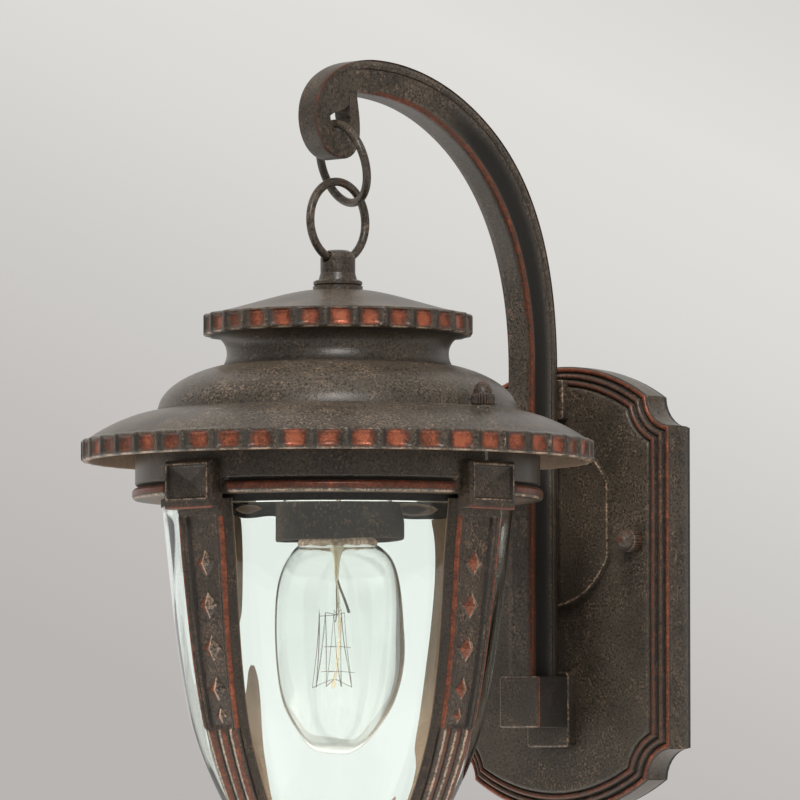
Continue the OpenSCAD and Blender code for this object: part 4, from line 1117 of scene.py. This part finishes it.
def make_stage(settings):
    """A plain whitish floor, soft lights, a diagonal grey backdrop in the world, and the camera."""
    scene = bpy.context.scene
    azimuth, pitch = math.radians(VIEW_AZIMUTH), settings.camera_pitch
    ahead = Vector((-math.sin(azimuth) * math.cos(pitch), math.cos(azimuth) * math.cos(pitch), math.sin(pitch)))
    right = Vector((math.cos(azimuth), math.sin(azimuth), 0))
    up = right.cross(ahead)
    camera = bpy.data.objects.new("camera", bpy.data.cameras.new("camera"))
    camera.data.sensor_width = 36
    camera.data.lens = settings.camera_lens
    camera.location = settings.camera_place
    camera.rotation_mode = "QUATERNION"
    camera.rotation_quaternion = ahead.to_track_quat("-Z", "Y")
    camera.data.clip_end = 60
    scene.collection.objects.link(camera)
    scene.camera = camera
    scene.view_settings.view_transform = "Standard"

    world = bpy.data.worlds.new("studio")
    world.use_nodes = True
    tree = world.node_tree
    tree.nodes.clear()
    place = add_node(tree, "ShaderNodeTexCoord")
    slope = add_node(tree, "ShaderNodeVectorMath", {0: place.outputs["Generated"], 1: up + 0.45 * right},
                     operation="DOT_PRODUCT").outputs["Value"]
    low, high = -0.063, 0.088
    along = add_node(tree, "ShaderNodeMapRange", {"Value": slope, "From Min": low, "From Max": high})
    ramp = add_node(tree, "ShaderNodeValToRGB", {"Fac": along.outputs[0]})
    stops = ((-0.063, (185, 181, 178)), (-0.027, (196, 192, 189)), (0.004, (207, 205, 202)),
             (0.034, (219, 218, 214)), (0.061, (225, 224, 220)), (0.088, (217, 216, 212)))
    elements = ramp.color_ramp.elements
    while len(elements) < len(stops):
        elements.new(0.5)
    for element, (at, color) in zip(elements, stops):
        element.position = (at - low) / (high - low)
        element.color = srgb(*color)
    seen = add_node(tree, "ShaderNodeBackground", {"Color": ramp.outputs[0], "Strength": 1.0})
    level = Vector((ahead.x, ahead.y, 0)).normalized()
    behind = add_node(tree, "ShaderNodeVectorMath", {0: place.outputs["Generated"], 1: level},
                      operation="DOT_PRODUCT").outputs["Value"]
    tilt = add_node(tree, "ShaderNodeSeparateXYZ", {"Vector": place.outputs["Generated"]})
    sky = mixed(tree, eased(tree, tilt.outputs["Z"], -0.4, 0.9), srgb(120, 116, 110), srgb(205, 207, 208))
    sky = mixed(tree, eased(tree, behind, 0.2, 0.85), sky, srgb(252, 252, 250))
    light = add_node(tree, "ShaderNodeBackground", {"Color": sky, "Strength": settings.fill_strength})
    through = add_node(tree, "ShaderNodeBackground", {"Color": srgb(243, 249, 244), "Strength": 1.0})
    ray = add_node(tree, "ShaderNodeLightPath")
    unseen = add_node(tree, "ShaderNodeMixShader", {0: calc(tree, "GREATER_THAN", ray.outputs["Transmission Depth"], 0.5), 1: light.outputs[0],
                                                    2: through.outputs[0]})
    both = add_node(tree, "ShaderNodeMixShader", {0: ray.outputs["Is Camera Ray"], 1: unseen.outputs[0],
                                                  2: seen.outputs[0]})
    output = add_node(tree, "ShaderNodeOutputWorld")
    tree.links.new(both.outputs[0], output.inputs[0])
    scene.world = world

    target = Vector((0, AXIS_Y / 1000, 0.02))
    lamps = (
        ("key", -0.1 * right + 0.95 * up - 0.32 * ahead, 0.8, settings.key_power, (1.0, 0.985, 0.96)),
        ("front", 0.55 * up - 0.8 * ahead, 0.35, settings.key_power * 0.3, (1.0, 0.98, 0.95)),
        ("edge", -0.8 * right + 0.6 * up + 0.45 * ahead, 1.0, settings.key_power * 0.5, (1.0, 1.0, 0.99)),
        ("rim", -0.95 * right - 0.05 * up + 0.32 * ahead, 1.0, settings.key_power * 0.5, (1.0, 1.0, 0.99)),
        ("side", 0.9 * right + 0.25 * up - 0.35 * ahead, 1.2, settings.key_power * 0.38, (1.0, 0.97, 0.93)),
    )
    for name, direction, size, power, color in lamps:
        lamp = bpy.data.lights.new(name, "AREA")
        lamp.size = size
        lamp.energy = power
        lamp.color = color
        holder = bpy.data.objects.new(name, lamp)
        holder.location = target + direction.normalized() * 2.3
        holder.rotation_mode = "QUATERNION"
        holder.visible_transmission = False
        holder.visible_glossy = name == "front"
        holder.rotation_quaternion = (-direction).to_track_quat("-Z", "Y")
        scene.collection.objects.link(holder)

    reach, floor_z = 14.0, -0.75
    mesh = bpy.data.meshes.new("floor")
    corners = [(x * reach, y * reach, floor_z) for x, y in ((-1, -1), (1, -1), (1, 1), (-1, 1))]
    mesh.from_pydata(corners, [], [(0, 1, 2, 3)])
    mesh.materials.append(plain_finish("floor_paint", (206, 203, 198), (212, 209, 205), 6, 0, 0.7, 0.02))
    floor = bpy.data.objects.new("floor", mesh)
    scene.collection.objects.link(floor)


CARRIED_OVER = {
    "wall_gasket": "gasket_foam", "mounting_bar": "zinc_steel", "plate_studs": "zinc_steel",
    "stud_lock_nuts": "zinc_steel", "earth_screw": "earth_green", "arm_screws": "zinc_steel",
    "top_loop": "weathered_bronze", "loop_collar": "weathered_bronze", "centre_pipe": "zinc_steel",
    "pipe_washer": "zinc_steel", "pipe_nut": "zinc_steel", "roof_studs": "zinc_steel",
    "strap_screws": "zinc_steel", "glass_gasket": "gasket_foam", "lamp_holder": "porcelain",
    "holder_shell": "brass_plate", "holder_contact": "brass_plate", "bulb_cap": "bulb_cap_metal",
    "bulb_contact": "bulb_cap_metal",
}


def finish_carried_over():
    """CAD nodes that keep their shape get their finish."""
    for name, finish in CARRIED_OVER.items():
        for slot in frame["nodes"][name].material_slots:
            slot.material = FINISH[finish]


# ---------- add-on ----------


def color_setting(name, description, default):
    """A colour as a property, its three channels linear."""
    return FloatVectorProperty(
        name=name, description=description, default=default[:3], subtype="COLOR", min=0, max=1,
    )


class LanternSettings(bpy.types.PropertyGroup):
    """Sizes, colours and light that a user may change before building."""

    roof_flutes: IntProperty(
        name="Roof flutes", description="Flutes round the roof's rim", default=48, min=24, max=72,
    )
    cap_flutes: IntProperty(
        name="Cap flutes", description="Flutes round the cap's rim", default=28, min=16, max=40,
    )
    roof_turn: FloatProperty(
        name="Roof turn", description="Angle of the roof's first flute",
        default=math.radians(4.6), subtype="ANGLE", unit="ROTATION",
    )
    cap_turn: FloatProperty(
        name="Cap turn", description="Angle of the cap's first flute",
        default=math.radians(6.6), subtype="ANGLE", unit="ROTATION",
    )
    flute_depth: FloatProperty(
        name="Flute depth", description="Depth of a flute",
        default=0.0017, min=0.0005, max=0.003, precision=5, unit="LENGTH",
    )
    paint: color_setting("Paint", "Body colour of the castings", srgb(59, 52, 44))
    strap_paint: color_setting("Strap paint", "Body colour of the straps", srgb(61, 52, 44))
    copper: color_setting("Copper", "Colour where the paint is worn through", srgb(154, 86, 62))
    glass_tint: color_setting("Glass tint", "Tint of the shade", (0.968, 0.988, 0.976))
    camera_place: FloatVectorProperty(
        name="Camera place", description="Where the camera stands",
        default=(1.7717, -1.9761, -0.1061), subtype="TRANSLATION", unit="LENGTH",
    )
    camera_pitch: FloatProperty(
        name="Camera pitch", description="Upward tilt of the camera",
        default=math.radians(3.59), subtype="ANGLE", unit="ROTATION",
    )
    camera_lens: FloatProperty(
        name="Lens", description="Focal length of the camera", default=287.7, min=1, unit="CAMERA",
    )
    key_power: FloatProperty(
        name="Key light", description="Power of the main light", default=82.0, min=0, unit="POWER",
    )
    fill_strength: FloatProperty(
        name="Fill", description="Strength of the light from all round", default=0.75, min=0,
    )


class LANTERN_OT_finishes(bpy.types.Operator):
    """Mix the paints, metals and glass"""
    bl_idname = "lantern.finishes"
    bl_label = "Finishes"

    def execute(self, context):
        make_finishes(context.scene.lantern)
        return {"FINISHED"}


class LANTERN_OT_stage(bpy.types.Operator):
    """Set the floor, lights, backdrop and camera"""
    bl_idname = "lantern.stage"
    bl_label = "Stage"

    def execute(self, context):
        make_stage(context.scene.lantern)
        return {"FINISHED"}


class LANTERN_OT_bracket(bpy.types.Operator):
    """Cast the wall plate and the hooked arm"""
    bl_idname = "lantern.bracket"
    bl_label = "Wall bracket"

    def execute(self, context):
        make_wall_plate()
        make_arm()
        return {"FINISHED"}


class LANTERN_OT_rings(bpy.types.Operator):
    """Bend the two hanging rings"""
    bl_idname = "lantern.rings"
    bl_label = "Rings"

    def execute(self, context):
        make_rings()
        return {"FINISHED"}


class LANTERN_OT_roof(bpy.types.Operator):
    """Cast the roof and its cap"""
    bl_idname = "lantern.roof"
    bl_label = "Roof and cap"

    def execute(self, context):
        make_roof(context.scene.lantern)
        make_cap(context.scene.lantern)
        return {"FINISHED"}


class LANTERN_OT_cage(bpy.types.Operator):
    """Cast the ring, the four straps, the hub and the finial"""
    bl_idname = "lantern.cage"
    bl_label = "Cage"

    def execute(self, context):
        make_cage_ring()
        make_straps()
        make_foot()
        return {"FINISHED"}


class LANTERN_OT_glass(bpy.types.Operator):
    """Blow the wavy glass shade"""
    bl_idname = "lantern.glass"
    bl_label = "Glass shade"

    def execute(self, context):
        make_glass()
        return {"FINISHED"}


class LANTERN_OT_lamp(bpy.types.Operator):
    """Make the socket cup and the lamp"""
    bl_idname = "lantern.lamp"
    bl_label = "Lamp"

    def execute(self, context):
        make_cup()
        make_bulb()
        return {"FINISHED"}


class LANTERN_OT_nuts(bpy.types.Operator):
    """Turn the four cap nuts"""
    bl_idname = "lantern.nuts"
    bl_label = "Cap nuts"

    def execute(self, context):
        make_nuts()
        return {"FINISHED"}


class LANTERN_OT_fittings(bpy.types.Operator):
    """Give the fittings that keep their shape their finish"""
    bl_idname = "lantern.fittings"
    bl_label = "Fittings"

    def execute(self, context):
        finish_carried_over()
        return {"FINISHED"}


STEPS = (
    LANTERN_OT_finishes, LANTERN_OT_stage, LANTERN_OT_bracket, LANTERN_OT_rings, LANTERN_OT_roof,
    LANTERN_OT_cage, LANTERN_OT_glass, LANTERN_OT_lamp, LANTERN_OT_nuts, LANTERN_OT_fittings,
)


class LANTERN_PT_build(bpy.types.Panel):
    """Lists the lantern's settings and build steps"""
    bl_idname = "LANTERN_PT_build"
    bl_label = "Lantern"
    bl_space_type = "VIEW_3D"
    bl_region_type = "UI"
    bl_category = "Lantern"

    def draw(self, context):
        for name in LanternSettings.__annotations__:
            self.layout.prop(context.scene.lantern, name)
        for step in STEPS:
            self.layout.operator(step.bl_idname)


CLASSES = (LanternSettings, *STEPS, LANTERN_PT_build)


def register():
    for kind in CLASSES:
        bpy.utils.register_class(kind)
    bpy.types.Scene.lantern = PointerProperty(type=LanternSettings)


def unregister():
    del bpy.types.Scene.lantern
    for kind in reversed(CLASSES):
        bpy.utils.unregister_class(kind)


def main():
    """Build everything in order."""
    register()
    for step in STEPS:
        group, name = step.bl_idname.split(".")
        getattr(getattr(bpy.ops, group), name)()


if __name__ == "__main__":
    main()
